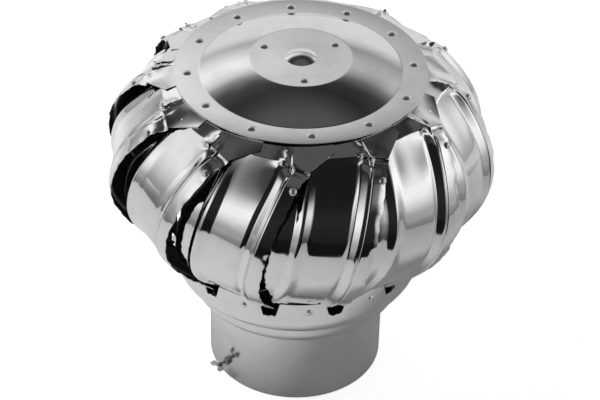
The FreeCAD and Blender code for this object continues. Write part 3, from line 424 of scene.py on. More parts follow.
def profile_curve(name, points):
    """A closed poly curve in the sweep's own frame, whose Y points down."""
    curve = bpy.data.curves.new(name, "CURVE")
    curve.dimensions = "3D"
    spline = curve.splines.new("POLY")
    spline.points.add(len(points) - 1)
    for point, (radius, height) in zip(spline.points, points):
        point.co = (radius - SWEEP_RADIUS, -height, 0, 1)
    spline.use_cyclic_u = True
    holder = bpy.data.objects.new(name, curve)
    bpy.context.scene.collection.objects.link(holder)
    return holder


def turn_piece(name, points, material, segments=ROUND_STEPS):
    """Runs the tree on a profile and keeps the result as a plain mesh with outward normals."""
    profile = profile_curve(name + "_profile", points)
    carrier = bpy.data.objects.new(name + "_carrier", bpy.data.meshes.new(name + "_carrier"))
    bpy.context.scene.collection.objects.link(carrier)
    modifier = carrier.modifiers.new("Turn", "NODES")
    modifier.node_group = TURN_TREE
    set_inputs(modifier, {"Profile": profile, "Segments": segments, "Place": (0, 0, 0),
                          "Tilt": (0, 0, 0), "Copies": 1, "Step": 0.0, "Weld": WELD,
                          "Material": material})
    piece = plain_mesh(carrier, name)
    bpy.data.objects.remove(carrier)
    bpy.data.objects.remove(profile)
    return piece


def plain_mesh(carrier, name):
    """The evaluated object as a new object with a mesh of its own."""
    view = bpy.context.evaluated_depsgraph_get()
    mesh = bpy.data.meshes.new_from_object(carrier.evaluated_get(view), depsgraph=view)
    mesh.name = name
    piece = bpy.data.objects.new(name, mesh)
    bpy.context.scene.collection.objects.link(piece)
    face_outwards(mesh)
    return piece


def face_outwards(mesh):
    shape = bmesh.new()
    shape.from_mesh(mesh)
    bmesh.ops.recalc_face_normals(shape, faces=shape.faces)
    shape.to_mesh(mesh)
    shape.free()
    mesh.shade_smooth()
    mesh.set_sharp_from_angle(angle=SHARP_ANGLE)
    print(mesh.name, "has", len(mesh.polygons), "faces")


# %% [markdown]
# ### The neck
# One sheet, rolled, with a crease under a flared rim. The rim reaches up inside the rotor's
# lip, so rain that runs down the skirt drips outside the flue.

# %% Neck
FLARE_MIDDLE = (FLARE_OUTER - FLARE_ROLL, NECK_TALL + math.sqrt(
    FLARE_ROLL ** 2 - (FLARE_OUTER - FLARE_ROLL - NECK_OUTER) ** 2))
INNER_ROLL = FLARE_ROLL - NECK_SHEET
NECK_INNER = NECK_OUTER - NECK_SHEET
CREASE_INNER = FLARE_MIDDLE[1] - math.sqrt(INNER_ROLL ** 2 - (FLARE_MIDDLE[0] - NECK_INNER) ** 2)
RIM_INNER = FLARE_OUTER - NECK_SHEET
neck_profile = [(NECK_OUTER, 0.0), (NECK_OUTER, NECK_TALL)]
neck_profile += arc_points(neck_profile[-1], (FLARE_OUTER, FLARE_MIDDLE[1]), FLARE_ROLL, 1)
neck_profile += [(FLARE_OUTER, FLARE_MIDDLE[1] + RIM_TALL), (RIM_INNER, FLARE_MIDDLE[1] + RIM_TALL)]
neck_profile += [(RIM_INNER, FLARE_MIDDLE[1])]
neck_profile += arc_points(neck_profile[-1], (NECK_INNER, CREASE_INNER), INNER_ROLL, -1)
neck_profile += [(NECK_INNER, 0.0)]
NECK_EDGE = 0.25 * MM
neck_blank = turn_piece("neck_blank", soften(neck_profile, NECK_EDGE), NECK_STEEL)

# %% [markdown]
# The two wing screws reach in through the neck, so one drill goes right across it.

# %% Holes for the wing screws
CLAMP_HEIGHT = 15.4 * MM
CLAMP_TURN = math.radians(-141.5)
CLAMP_HOLE = 2.2 * MM
DRILL_SIDES = 32


def drill_across(blank, name):
    """The blank with a hole on two opposite sides, as a plain mesh."""
    shape = bmesh.new()
    bmesh.ops.create_cone(shape, cap_ends=True, segments=DRILL_SIDES, radius1=CLAMP_HOLE,
                          radius2=CLAMP_HOLE, depth=3 * NECK_OUTER)
    mesh = bpy.data.meshes.new("drill")
    shape.to_mesh(mesh)
    shape.free()
    drill = bpy.data.objects.new("drill", mesh)
    bpy.context.scene.collection.objects.link(drill)
    drill.matrix_world = (Matrix.Translation((0, 0, CLAMP_HEIGHT)) @ Matrix.Rotation(CLAMP_TURN, 4, "Z")
                          @ Matrix.Rotation(math.pi / 2, 4, "Y"))
    cut = blank.modifiers.new("Holes", "BOOLEAN")
    cut.operation = "DIFFERENCE"
    cut.solver = "EXACT"
    cut.object = drill
    piece = plain_mesh(blank, name)
    bpy.data.objects.remove(blank)
    bpy.data.objects.remove(drill)
    return piece


neck = drill_across(neck_blank, "neck_sheet")

# %% [markdown]
# The skirt's upper edge is snipped between the vanes' feet. The turned wall is straight there,
# so its top edge is simply let down where a snip is, with a ragged floor.

# %% Skirt
SKIRT_STEPS = 720
FLANGE_SHIFT = math.radians(-2.8)
RIM_RIVET_TURN = math.radians(7.6)
SNIP_MIDDLE = FIRST_PINCH + RIM_RIVET_TURN + FLANGE_SHIFT + VANE_STEP / 2
SNIP_RAGGED = 0.5 * MM
SNIP_BAND = 2.0 * MM
SKIRT_EDGE = 0.3 * MM


def cut_notches(mesh):
    """Lets the skirt's top edge down in twelve snips that narrow towards their floor."""
    points = np.array([vertex.co[:] for vertex in mesh.vertices])
    angle = np.arctan2(points[:, 1], points[:, 0])
    away = abs((angle - SNIP_MIDDLE + VANE_STEP / 2) % VANE_STEP - VANE_STEP / 2) * SKIRT_RADIUS
    share = np.clip((NOTCH_WIDE / 2 - away) / (NOTCH_WIDE / 2 - NOTCH_FLOOR / 2), 0, 1)
    ragged = SNIP_RAGGED * (np.sin(137 * angle) + np.sin(59 * angle + 1.0))
    top = points[:, 2] > SKIRT_TOP - SNIP_BAND
    drop = np.where(top, share * (NOTCH_DEEP + ragged), 0.0)
    points[:, 2] -= drop
    mesh.vertices.foreach_set("co", points.ravel())
    mesh.update()
    print("notches cut", NOTCH_DEEP / MM, "mm deep")


BOWL_MIDDLE = (LIP_RADIUS - SKIRT_ROLL * math.cos(SKIRT_LIP_ANGLE),
               LIP_HEIGHT + SKIRT_ROLL * math.sin(SKIRT_LIP_ANGLE))
SKIRT_RADIUS = BOWL_MIDDLE[0] + SKIRT_ROLL
BOWL_INNER = SKIRT_ROLL - ROTOR_SHEET
skirt_profile = [(LIP_RADIUS, LIP_HEIGHT)]
skirt_profile += arc_points(skirt_profile[-1], (SKIRT_RADIUS, BOWL_MIDDLE[1]), SKIRT_ROLL, 1)
skirt_profile += [(SKIRT_RADIUS, SKIRT_TOP), (SKIRT_RADIUS - ROTOR_SHEET, SKIRT_TOP)]
skirt_profile += [(SKIRT_RADIUS - ROTOR_SHEET, BOWL_MIDDLE[1])]
skirt_profile += arc_points(
    skirt_profile[-1],
    (BOWL_MIDDLE[0] + BOWL_INNER * math.cos(SKIRT_LIP_ANGLE),
     BOWL_MIDDLE[1] - BOWL_INNER * math.sin(SKIRT_LIP_ANGLE)), BOWL_INNER, -1)
skirt = turn_piece("skirt_sheet", soften(skirt_profile, SKIRT_EDGE), SKIRT_STEEL, segments=SKIRT_STEPS)
cut_notches(skirt.data)

# %% Cap
CAP_UNDER = CAP_HEIGHT - ROTOR_SHEET
BOSS_TOP = CAP_HEIGHT + DOME_RISE
BOSS_UNDER = BOSS_TOP - ROTOR_SHEET
BUMP_ROUND = (BUMP_RADIUS ** 2 + BUMP_RISE ** 2) / (2 * BUMP_RISE)
cap_profile = [(0.0, BOSS_TOP + BUMP_RISE), (0.0, BOSS_UNDER + BUMP_RISE)]
cap_profile += arc_points(cap_profile[-1], (BUMP_RADIUS, BOSS_UNDER), BUMP_ROUND, -1)
cap_profile += [(BOSS_RADIUS, BOSS_UNDER)]
cap_profile += arc_points(cap_profile[-1], (DOME_RADIUS, CAP_UNDER), DOME_ROUND, -1)
cap_profile += [(CAP_RADIUS, CAP_UNDER), (CAP_RADIUS, CAP_HEIGHT), (DOME_RADIUS, CAP_HEIGHT)]
cap_profile += arc_points(cap_profile[-1], (BOSS_RADIUS, BOSS_TOP), DOME_ROUND, 1)
cap_profile += [(BUMP_RADIUS, BOSS_TOP)]
cap_profile += arc_points(cap_profile[-1], (0.0, BOSS_TOP + BUMP_RISE), BUMP_ROUND, 1)[:-1]
PRESSED_BEND = 0.9 * MM
cap = turn_piece("cap_sheet", soften(cap_profile, PRESSED_BEND), CAP_STEEL)

for piece, body, node, finish in ((neck, "base", "neck_sleeve", "neck_steel"),
                                  (skirt, "rotor", "skirt_ring", "cap_steel"),
                                  (cap, "rotor", "top_cap", "cap_steel")):
    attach(piece, body)
    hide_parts(node)

# %% [markdown]
# ### The vanes
# Each vane is one pressed sheet. Its side view is a meridian of two smooth curves, from the
# fold outside the cap to the belly and in to the foot. The strip leans back on its way down,
# stands turned out of the tangent so that it scoops the wind, and has two pressed ribs.
# The form follows a rule, so numpy works out a fine grid of points, from the CAD model's sizes.
# Only the left margin, the slope of the foot and the bend of the tabs are a few millimetres
# nearer to the photograph here. What the CAD model leaves to this file are the ribs' ridges,
# the hem with its wavy raw edge, and the crushed star where the right rib meets the fold.

# %% Vane sizes
FOLD = np.array((122.0, 290.0)) * MM
FOLD_SLOPE = math.radians(52)
FOLD_ARM = 30.0 * MM
FOLD_STEP = 3.3 * MM
FOLD_TAPER = 0.109
HEM_TAPER = 0.30
HEM_FALL = 0.24
BELLY = np.array((160.0, 213.0)) * MM
BELLY_ARM = 35.0 * MM
BELLY_DROP = 28.0 * MM
FOOT = np.array((114.0, 140.0)) * MM
FOOT_SLOPE = math.radians(44)
FOOT_ARM = 28.0 * MM
FOOT_MIDDLE = 135.3 * MM
FOOT_FALL = 0.40
CHORD_TILT = math.radians(12)
LEAN_START = math.radians(-2)
LEAN = math.radians(14)
LEAN_POWER = 2.4
RIB_PITCH = 46.5 * MM
RIB_WIDE = 9.0 * MM
RIB_FLAT = 6.4 * MM
RIB_RISE = 3.0 * MM
RIB_FLANK = 6.3 * MM
LEFT_MARGIN = 14.0 * MM
LEFT_TUCK = 5.0 * MM
MARGIN_CUT = 28.0 * MM
SHOULDER_WIDE = 5.0 * MM
SHOULDER_RISE = 0.8 * MM
ROOT_DEEP = 0.6 * MM
HEM_WIDE = 12.0 * MM
HEM_BEAD = 2.8 * MM
HEM_PROUD = 2.0 * MM
TAB_INNER = 86.0 * MM
TAB_BEND = 103.8 * MM
TAB_STEP = 0.7 * MM
TAB_GAP = 0.7 * MM
FOLD_LIFT = 1.0 * MM
FLAP_ANGLE = math.radians(16)
FLAP_RADIUS = 113.0 * MM
FLAP_HEIGHT = 293.5 * MM
FLANGE_TOP = SKIRT_TOP + 1.5 * MM
FLANGE_TALL = 17.0 * MM
FLANGE_SPAN = math.radians(19)
FLANGE_FIT = 0.1 * MM
HALF_RIB = RIB_WIDE / 2
LEFT_RIB = -RIB_PITCH
HALF_FLAT = RIB_FLAT / 2
LEFT_EDGE = LEFT_RIB - HALF_RIB - LEFT_MARGIN


# %% The meridian
def bezier(points, share):
    a, b, c, d = (np.array(point)[None, :] for point in points)
    t = share[:, None]
    return (1 - t) ** 3 * a + 3 * t * (1 - t) ** 2 * b + 3 * t ** 2 * (1 - t) * c + t ** 3 * d


def reach(arm, angle):
    """A step of length arm at an angle above the level."""
    return np.array((arm * math.cos(angle), arm * math.sin(angle)))


CURVE_STEPS = 200
shares = np.linspace(0, 1, CURVE_STEPS)
upper = bezier((FOLD, FOLD + reach(FOLD_ARM, -FOLD_SLOPE), BELLY + (0, BELLY_ARM), BELLY), shares)
lower = bezier((BELLY, BELLY - (0, BELLY_DROP), FOOT + reach(FOOT_ARM, FOOT_SLOPE), FOOT), shares)
meridian = np.vstack((upper, lower[1:]))
travel = np.concatenate(([0], np.cumsum(np.hypot(*np.diff(meridian, axis=0).T))))
direction = np.gradient(meridian, travel, axis=0)
direction /= np.hypot(*direction.T)[:, None]
print("the meridian is %.1f mm long" % (travel[-1] / MM))


def meridian_at(s):
    """Radius, height and outward normal at distances s from the fold, straight past the foot."""
    over = np.maximum(s - travel[-1], 0)
    radius = np.interp(s, travel, meridian[:, 0]) + over * direction[-1, 0]
    height = np.interp(s, travel, meridian[:, 1]) + over * direction[-1, 1]
    along_r = np.interp(s, travel, direction[:, 0])
    along_z = np.interp(s, travel, direction[:, 1])
    return radius, height, -along_z, along_r


def travel_to(height):
    """Distance along the meridian at which it comes down to a height."""
    past = (meridian[-1, 1] - height) / -direction[-1, 1]
    inside = np.interp(-height, -meridian[:, 1], travel)
    return np.where(height < meridian[-1, 1], travel[-1] + past, inside)


# %% Points of the strip
def polar(radius, angle, height):
    """Points as an array with a last axis of three, from radius, angle and height."""
    radius, angle, height = np.broadcast_arrays(radius, angle, height)
    return np.stack((radius * np.cos(angle), radius * np.sin(angle), height), -1)


def on_vane(across, proud, s):
    """Points at places across the strip, standing proud of it, at distances s down the meridian."""
    radius, height, normal_r, normal_z = meridian_at(s)
    share = np.minimum(s / travel[-1], 1)
    turn = LEAN_START - LEAN * (1 - (1 - share) ** LEAN_POWER)
    outward = polar(1.0, turn, 0.0)
    onward = polar(1.0, turn + math.pi / 2, 0.0)
    along = onward * math.cos(CHORD_TILT) + outward * math.sin(CHORD_TILT)
    facing = outward * math.cos(CHORD_TILT) - onward * math.sin(CHORD_TILT)
    upward = np.array((0.0, 0.0, 1.0))
    normal = facing * np.expand_dims(normal_r, -1) + upward * np.expand_dims(normal_z, -1)
    middle = outward * np.expand_dims(radius, -1) + upward * np.expand_dims(height, -1)
    return middle + along * np.expand_dims(across, -1) + normal * np.expand_dims(proud, -1)


def fold_points(across, proud):
    """Where the columns cross the fold outside the cap."""
    angle = angle_of(on_vane(across, 0 * across, 0 * across))
    left_rib = np.where(across < -RIB_PITCH / 2, proud, 0.0)
    left = FOLD[0] - FOLD_STEP + FOLD_TAPER * (across + HALF_RIB) + left_rib / 2
    right = FOLD[0] + HEM_TAPER * across
    radius = np.where(across < 0, left, right)
    height = np.where(across < 0, FOLD[1] + FOLD_LIFT, FOLD[1] - HEM_FALL * across)
    return polar(radius, angle, height)


def angle_of(points):
    return np.arctan2(points[..., 1], points[..., 0])


def tab_height(angle):
    """The tab rises along the rim, so that each lies over the next."""
    return CAP_HEIGHT - ROTOR_SHEET - TAB_GAP + TAB_STEP * (angle - FLAP_ANGLE) / VANE_STEP


# %% [markdown]
# The section across a vane is an outline of corners, each with a rounding of its own. The ribs
# are ridges. The left one falls gently into the panel, and the right one rises from a sharp
# root to its crest and then drops. Past a narrow valley comes the hem, a bead that falls away
# to a raw, wavy edge. Smooth shading spreads a corner over the faces beside it, so the corners
# with no rounding are single columns that keep the shade of a tight bend where it belongs.

# %% Columns across the strip
# Each corner: place across, how far it stands proud, how far its rounding reaches, and its columns.
CREST = 2.8 * MM
VANE_SECTION = (
    (LEFT_EDGE, -LEFT_TUCK, 0, 1),
    (LEFT_EDGE + LEFT_MARGIN / 2, -0.55 * LEFT_TUCK, 3.0 * MM, 3),
    (LEFT_RIB - HALF_RIB, -LEFT_TUCK / 4, 0.9 * MM, 3),
    (LEFT_RIB + 1.2 * MM, RIB_RISE, 2.4 * MM, 6),
    (LEFT_RIB + HALF_FLAT + RIB_FLANK, 0.0, 2.2 * MM, 4),
    (-RIB_PITCH / 2, SHOULDER_RISE, 9.0 * MM, 5),
    (-HALF_RIB - 0.5 * SHOULDER_WIDE, 1.15 * SHOULDER_RISE, 2.0 * MM, 5),
    (-HALF_RIB + 0.4 * MM, -ROOT_DEEP, 0.6 * MM, 3),
    (-HALF_RIB + 1.8 * MM, 0.05 * RIB_RISE, 0, 1),
    (CREST - 1.8 * MM, 0.74 * RIB_RISE, 0, 1),
    (CREST, 1.1 * RIB_RISE, 0.9 * MM, 3),
    (CREST + 0.9 * MM, ROOT_DEEP, 0.3 * MM, 2),
    (HALF_RIB, ROOT_DEEP, 0.25 * MM, 2),
    (HALF_RIB + 0.6 * MM, 1.14 * HEM_BEAD, 0.8 * MM, 3),
    (HALF_RIB + 2.0 * MM, 1.08 * HEM_BEAD, 0, 1),
    (HALF_RIB + 0.75 * HEM_WIDE, HEM_PROUD + 0.3 * MM, 2.4 * MM, 4),
    (HALF_RIB + HEM_WIDE, HEM_PROUD - 0.7 * MM, 0, 1),
)


def round_corners(corners):
    """Columns of an open outline, with a curve in place of each corner."""
    columns = []
    for index, (x, y, cut, count) in enumerate(corners):
        corner = np.array((x, y))
        if cut == 0:
            columns.append(corner)
            continue
        back = np.array(corners[index - 1][:2]) - corner
        ahead = np.array(corners[index + 1][:2]) - corner
        start = corner + back / np.hypot(*back) * cut
        end = corner + ahead / np.hypot(*ahead) * cut
        for share in np.linspace(0, 1, count):
            columns.append((1 - share) ** 2 * start + 2 * share * (1 - share) * corner + share ** 2 * end)
    return np.array(columns).T


across, proud = round_corners(VANE_SECTION)
FLANGE_FIRST = int(np.argmin(abs(across - LEFT_RIB + HALF_RIB)))
FLANGE_LAST = int(np.argmin(abs(across + HALF_RIB)))
print("a vane has", len(across), "columns")

# %% [markdown]
# Down the strip the rows follow the way the sheet is bent: the tab that lies under the cap's
# rim, its slope out to the fold, the panel, and the foot. Near the fold the rows are close
# together, because there the right rib is crushed into a star of small creases. The hem's bead
# begins below the fold with a round end, and its raw edge wanders. At the foot the left margin
# is cut off, and a flange under the panel is tucked inside the skirt.

# %% Crushed and wavy sheet
STAR_REACH = 7.5 * MM
STAR_HIGH = 1.1 * MM
STAR_POINTS = 4
STAR_PLACE = (-1.0 * MM, 1.0 * MM)
RIB_STARTS = 13.0 * MM
# Each lump on the slope above the pinch: its left foot, ridge and right foot across, and its height.
LUMPS = ((-11.0 * MM, -3.6 * MM, -2.6 * MM, 3.6 * MM), (-2.2 * MM, 1.6 * MM, 2.6 * MM, 1.9 * MM))
LUMP_FADE = 3.0 * MM
EDGE_WAVES = ((13.0 * MM, 0.6, 0.4), (8.3 * MM, 0.5, 2.1), (5.1 * MM, 0.3, 4.4), (31.0 * MM, 0.5, 1.0))
EDGE_WANDER = 0.8 * MM
HEM_START = 5.0 * MM
HEM_END_ROUND = 7.0 * MM


def smooth_step(value):
    value = np.clip(value, 0, 1)
    return value * value * (3 - 2 * value)


def star(down):
    """Height of the crushed star at distances down from the fold, for each column."""
    right, low = across - STAR_PLACE[0], down - STAR_PLACE[1]
    distance = np.hypot(right, low)
    around = np.arctan2(low, right)
    creases = np.cos(STAR_POINTS * around + 0.6) + 0.6 * np.cos(3 * around + 2.0 + distance / (2.2 * MM))
    return STAR_HIGH * creases * np.exp(-(distance / STAR_REACH) ** 2)


def lumps(share, down):
    """Height of the lumps at a share of the way down the slope, and below the fold."""
    height = 0 * across
    for left, ridge, right, high in LUMPS:
        rising, falling = (across - left) / (ridge - left), (right - across) / (right - ridge)
        height = height + high * np.clip(np.minimum(rising, falling), 0, 1)
    return height * share * np.exp(-(np.maximum(down, 0) / LUMP_FADE) ** 2)


def wander(down):
    """How far the raw edge wanders at distances down from the fold."""
    return EDGE_WANDER * sum(
        size * np.sin(2 * math.pi * down / length + phase) for length, size, phase in EDGE_WAVES)


def section_at(down):
    """The section across at distances down: the hem's bead starts round, and its edge wanders."""
    begun = np.clip((down - HEM_START) / HEM_END_ROUND, 0, 1)
    bead = np.sqrt(1 - (1 - begun) ** 2)
    started = 0.25 + 0.75 * smooth_step(down / RIB_STARTS)
    height = np.where(across > HALF_RIB, proud * bead, np.where(across > -HALF_RIB, proud * started, proud))
    edge = smooth_step((across - HALF_RIB - 0.55 * HEM_WIDE) / (0.45 * HEM_WIDE))
    move = edge * wander(down)
    return across + move, height + 0.5 * edge * wander(1.37 * down + 40 * MM)


# %% Rows down the strip
TAB_ROWS = 3
SLOPE_ROWS = 9
CRUSH_ROWS = (1.0, 2.2, 3.6, 5.2, 7.0, 9.0, 11.4, 14.2)
PANEL_ROWS = 43
FOOT_ROLL = 1.6 * MM
FOLD_BLEND = 20.0 * MM
FOLD_BLEND_LEFT = 58.0 * MM
CUT_STEP = 1.5 * MM
CUT_AT_RIB = 0.6
ROLL_SHARES = (0.0, 0.35, 0.7, 1.0)


def between(first, last, count):
    """Rows after first up to last, evenly spaced."""
    return [first + (last - first) * step / count for step in range(1, count + 1)]


def foot_height():
    """Where the strip ends: lower to the right, with the left margin cut off higher up."""
    past = LEFT_RIB - HALF_RIB - across
    cut = CUT_AT_RIB * smooth_step(past / CUT_STEP) + (1 - CUT_AT_RIB) * np.clip(past / LEFT_MARGIN, 0, 1)
    return FOOT_MIDDLE - FOOT_FALL * across + MARGIN_CUT * cut


def vane_rows():
    """Rows of the strip's outside, from the tab's inner edge to the foot."""
    fold = fold_points(across, proud)
    angle = angle_of(fold)
    tab = polar(TAB_INNER, angle, tab_height(angle))
    bend = polar(TAB_BEND, angle, tab_height(angle))
    rows = [tab] + between(tab, bend, TAB_ROWS)
    slope = np.linalg.norm(fold - bend, axis=-1)
    tilt = polar(math.sin(FOLD_SLOPE), angle, math.cos(FOLD_SLOPE))
    for number, row in enumerate(between(bend, fold, SLOPE_ROWS)):
        share = (number + 1) / SLOPE_ROWS
        down = slope * (share - 1)
        rows.append(row + tilt * (star(down) + lumps(share, down))[:, None])
    last = travel_to(foot_height())
    flat = on_vane(across, proud, 0 * across)
    offset = fold - flat
    steps = [mark * MM * np.ones_like(across) for mark in CRUSH_ROWS]
    steps += between(steps[-1], last, PANEL_ROWS)
    reach_left = np.clip(-across / (0.4 * RIB_PITCH), 0, 1)
    length = FOLD_BLEND + (FOLD_BLEND_LEFT - FOLD_BLEND) * reach_left
    for down in steps:
        blend = 1 - smooth_step(down / length)
        x, y = section_at(down)
        rows.append(on_vane(x, y + star(down) + lumps(1, down), down) + offset * blend[:, None])
    return np.array(rows)


def flange_rows(foot, above):
    """From the foot's last row, round a small roll, in over the skirt's edge and down inside it."""
    chosen = slice(FLANGE_FIRST, FLANGE_LAST + 1)
    foot, above = foot[chosen], above[chosen]
    turns = angle_of(foot)
    middle = (turns[0] + turns[-1]) / 2
    squeeze = FLANGE_SPAN / (turns[-1] - turns[0])
    turns = RIM_RIVET_TURN - VANE_STEP + FLANGE_SHIFT + (turns - middle) * squeeze
    inside = SKIRT_RADIUS - ROTOR_SHEET - FLANGE_FIT
    bend = polar(inside, turns, FLANGE_TOP)
    onward = foot - above
    onward /= np.linalg.norm(onward, axis=-1)[:, None]
    inward = bend - foot
    inward /= np.linalg.norm(inward, axis=-1)[:, None]
    corner = foot + onward * FOOT_ROLL
    end = corner + inward * FOOT_ROLL
    rows = [(1 - share) ** 2 * foot + 2 * share * (1 - share) * corner + share ** 2 * end
            for share in ROLL_SHARES]
    rows += between(end, bend, 2)
    rows += between(bend, polar(inside, turns, FLANGE_TOP - FLANGE_TALL), 2)
    return np.array(rows)


rows = vane_rows()
foot_flange = flange_rows(rows[-1], rows[-2])
print("a vane has", rows.shape[0], "rows and its flange", foot_flange.shape[0])

# %% The mesh of one vane
def strip_mesh(name, grids):
    """A mesh of quads over grids of points, joined where their edges meet."""
    shape = bmesh.new()
    for grid in grids:
        corners = [[shape.verts.new(point) for point in row] for row in grid]
        for upper, lower in zip(corners, corners[1:]):
            for left in range(len(upper) - 1):
                shape.faces.new((upper[left], lower[left], lower[left + 1], upper[left + 1]))
    bmesh.ops.remove_doubles(shape, verts=shape.verts, dist=WELD)
    mesh = bpy.data.meshes.new(name)
    shape.to_mesh(mesh)
    shape.free()
    return mesh


FLAP_COLUMNS = 4
flap_tab = polar(TAB_INNER, FLAP_ANGLE, tab_height(FLAP_ANGLE))
flap_bend = polar(TAB_BEND, FLAP_ANGLE, tab_height(FLAP_ANGLE))
flap_corner = polar(FLAP_RADIUS, FLAP_ANGLE, FLAP_HEIGHT)
flap_rows = [flap_tab] + between(flap_tab, flap_bend, TAB_ROWS) + between(flap_bend, flap_corner, SLOPE_ROWS)
flap = np.array([[row[-1]] + between(row[-1], end, FLAP_COLUMNS) for row, end in zip(rows, flap_rows)])
vane_mesh = strip_mesh("vane", (rows, flap, foot_flange))
print("one side of a vane has", len(vane_mesh.polygons), "faces")

# %% [markdown]
# The ring of twelve is a second use of Geometry Nodes: the one vane is turned about the axis
# by the pinch angle and a step for each copy. Solidify gives the sheet its thickness first.

# %% A Geometry Nodes tree that repeats a piece round the axis
RING_INPUTS = (("Copies", "NodeSocketInt"), ("First", "NodeSocketFloat"), ("Step", "NodeSocketFloat"),
               ("Material", "NodeSocketMaterial"))


def build_ring_tree():
    tree, given, leave = new_tree("RingOfVanes", RING_INPUTS)
    repeat_round(tree, given["Geometry"], given, given["First"], leave)
    return tree


RING_TREE = build_ring_tree()
print("Geometry Nodes tree", RING_TREE.name, "has", len(RING_TREE.nodes), "nodes")

# %% The ring of vanes
vane_carrier = bpy.data.objects.new("vane_carrier", vane_mesh)
bpy.context.scene.collection.objects.link(vane_carrier)
wall = vane_carrier.modifiers.new("Sheet", "SOLIDIFY")
wall.thickness = VANE_SHEET
wall.offset = -1
wall.use_even_offset = False
ring = vane_carrier.modifiers.new("Ring", "NODES")
ring.node_group = RING_TREE
set_inputs(ring, {"Copies": VANES, "First": FIRST_PINCH, "Step": VANE_STEP, "Material": VANE_STEEL})
vanes = plain_mesh(vane_carrier, "vane_ring")
bpy.data.objects.remove(vane_carrier)
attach(vanes, "rotor")
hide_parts(*["vane_%02d" % (number + 1) for number in range(VANES)])

# %% [markdown]
# ## Camera
# The camera stands where the photograph was taken from: well above the cowl, with a long lens.

# %% Camera
CAMERA_PLACE = Vector((1.709, -1470.552, 1301.824)) * MM
CAMERA_AIM = Vector((1.709, 0.0, 160.83)) * MM
CAMERA_ROLL = math.radians(1.346)
CAMERA_LENS = 129.75

camera_data = bpy.data.cameras.new("camera")
camera_data.lens = CAMERA_LENS
camera_data.sensor_width = 36.0
camera_data.clip_end = 50.0
camera = bpy.data.objects.new("camera", camera_data)
bpy.context.scene.collection.objects.link(camera)
ahead = (CAMERA_AIM - CAMERA_PLACE).normalized()
level = Vector((1.0, 0.0, 0.0))
above = level.cross(ahead)
side = math.cos(CAMERA_ROLL) * level + math.sin(CAMERA_ROLL) * above
top = -math.sin(CAMERA_ROLL) * level + math.cos(CAMERA_ROLL) * above
camera.matrix_world = Matrix.Translation(CAMERA_PLACE) @ Matrix((side, top, -ahead)).transposed().to_4x4()
bpy.context.scene.camera = camera
print("camera at", tuple(round(value, 3) for value in CAMERA_PLACE))

# %% [markdown]
# ## Studio
# Polished steel shows its surroundings, so the studio is the finish. Seen by the camera the
# floor and backdrop are white. Seen in the steel, the room has a wall that is brightest a
# little above the horizon, a pale backdrop behind the cowl, a black front behind the camera,
# and a nearly black ceiling with a dim patch overhead. The table that the cowl stands on is lit
# by a soft lamp high at the left. At the sides and the front it ends at a straight edge, past
# which the floor is dim in the steel. At the back the floor turns as pale as the backdrop.

# %% The room by direction
# Pairs of degrees and level: first round the axis from +X, then up from the horizon.
WALL_BY_AZIMUTH = ((40, 1.1), (62, 0.45), (84, 0.5), (98, 0.8), (110, 0.95), (150, 1.0), (176, 0.8),
                   (200, 1.0), (231, 1.0), (236, 0.01), (302, 0.01), (316, 0.9), (352, 1.1))
WALL_BY_HEIGHT = ((-30, 0.2), (-12, 0.24), (2, 0.46), (10, 0.78), (20, 1.1), (26, 1.08),
                  (32, 0.75), (37, 0.28), (43, 0.06), (60, 0.0))
CEILING = 0.012
OVERHEAD = 0.085
OVERHEAD_FROM = math.sin(math.radians(56))
OVERHEAD_FULL = math.sin(math.radians(70))
BACK_LIFT = math.radians(25)
LIFT_POWER = 3
BACKDROP = 0.8
BACKDROP_SIDE = (0.55, 0.85)
BACKDROP_TOP = (0.50, 0.28)
FULL_TURN = 360.0
HALF_TURN = 180.0


def set_ramp(node, stops):
    """Grey levels of a colour ramp from pairs of place and level."""
    elements = node.color_ramp.elements
    while len(elements) < len(stops):
        elements.new(0.5)
    for element, (place, level) in zip(elements, stops):
        element.position = place
        element.color = (level, level, level, 1)


def build_wall_group():
    """How bright the wall stands in a direction about the Z axis."""
    tree = bpy.data.node_groups.new("WallByAzimuth", "ShaderNodeTree")
    tree.interface.new_socket("Direction", in_out="INPUT", socket_type="NodeSocketVector")
    tree.interface.new_socket("Level", in_out="OUTPUT", socket_type="NodeSocketFloat")
    entry = tree.nodes.new("NodeGroupInput")
    leave = tree.nodes.new("NodeGroupOutput")
    parts = tree.nodes.new("ShaderNodeSeparateXYZ")
    tree.links.new(entry.outputs["Direction"], parts.inputs["Vector"])
    azimuth = calculate(tree, "ARCTAN2", parts.outputs["Y"], parts.outputs["X"])
    azimuth = calculate(tree, "DIVIDE", azimuth, 2 * math.pi)
    azimuth = calculate(tree, "FRACT", calculate(tree, "ADD", azimuth, 1.0))
    ramp = tree.nodes.new("ShaderNodeValToRGB")
    set_ramp(ramp, [(degrees / FULL_TURN, level) for degrees, level in WALL_BY_AZIMUTH])
    tree.links.new(azimuth, ramp.inputs["Fac"])
    tree.links.new(ramp.outputs["Color"], leave.inputs["Level"])
    return tree


WALL_GROUP = build_wall_group()


def wall_level(tree, direction):
    group = tree.nodes.new("ShaderNodeGroup")
    group.node_tree = WALL_GROUP
    tree.links.new(direction, group.inputs["Direction"])
    return group.outputs["Level"]


print("the wall is described at", len(WALL_BY_AZIMUTH), "azimuths and", len(WALL_BY_HEIGHT), "heights")

# %% Floor
FLOOR_HALF = 4.0
FLOOR_GREY = 0.86
FLOOR_ROUGH = 0.9
DIMMEST = 0.005
TABLE_FRONT = -0.72
TABLE_SIDE = 0.85
TABLE_EDGE = 0.02
CAMERA_GLOW = 0.75
FAR_FLOOR = (0.19, 0.40)
FAR_FLOOR_SPAN = (0.75, 2.4)
BACK_GLOW = 0.35
BACK_GLOW_SPAN = (0.1, 0.45)


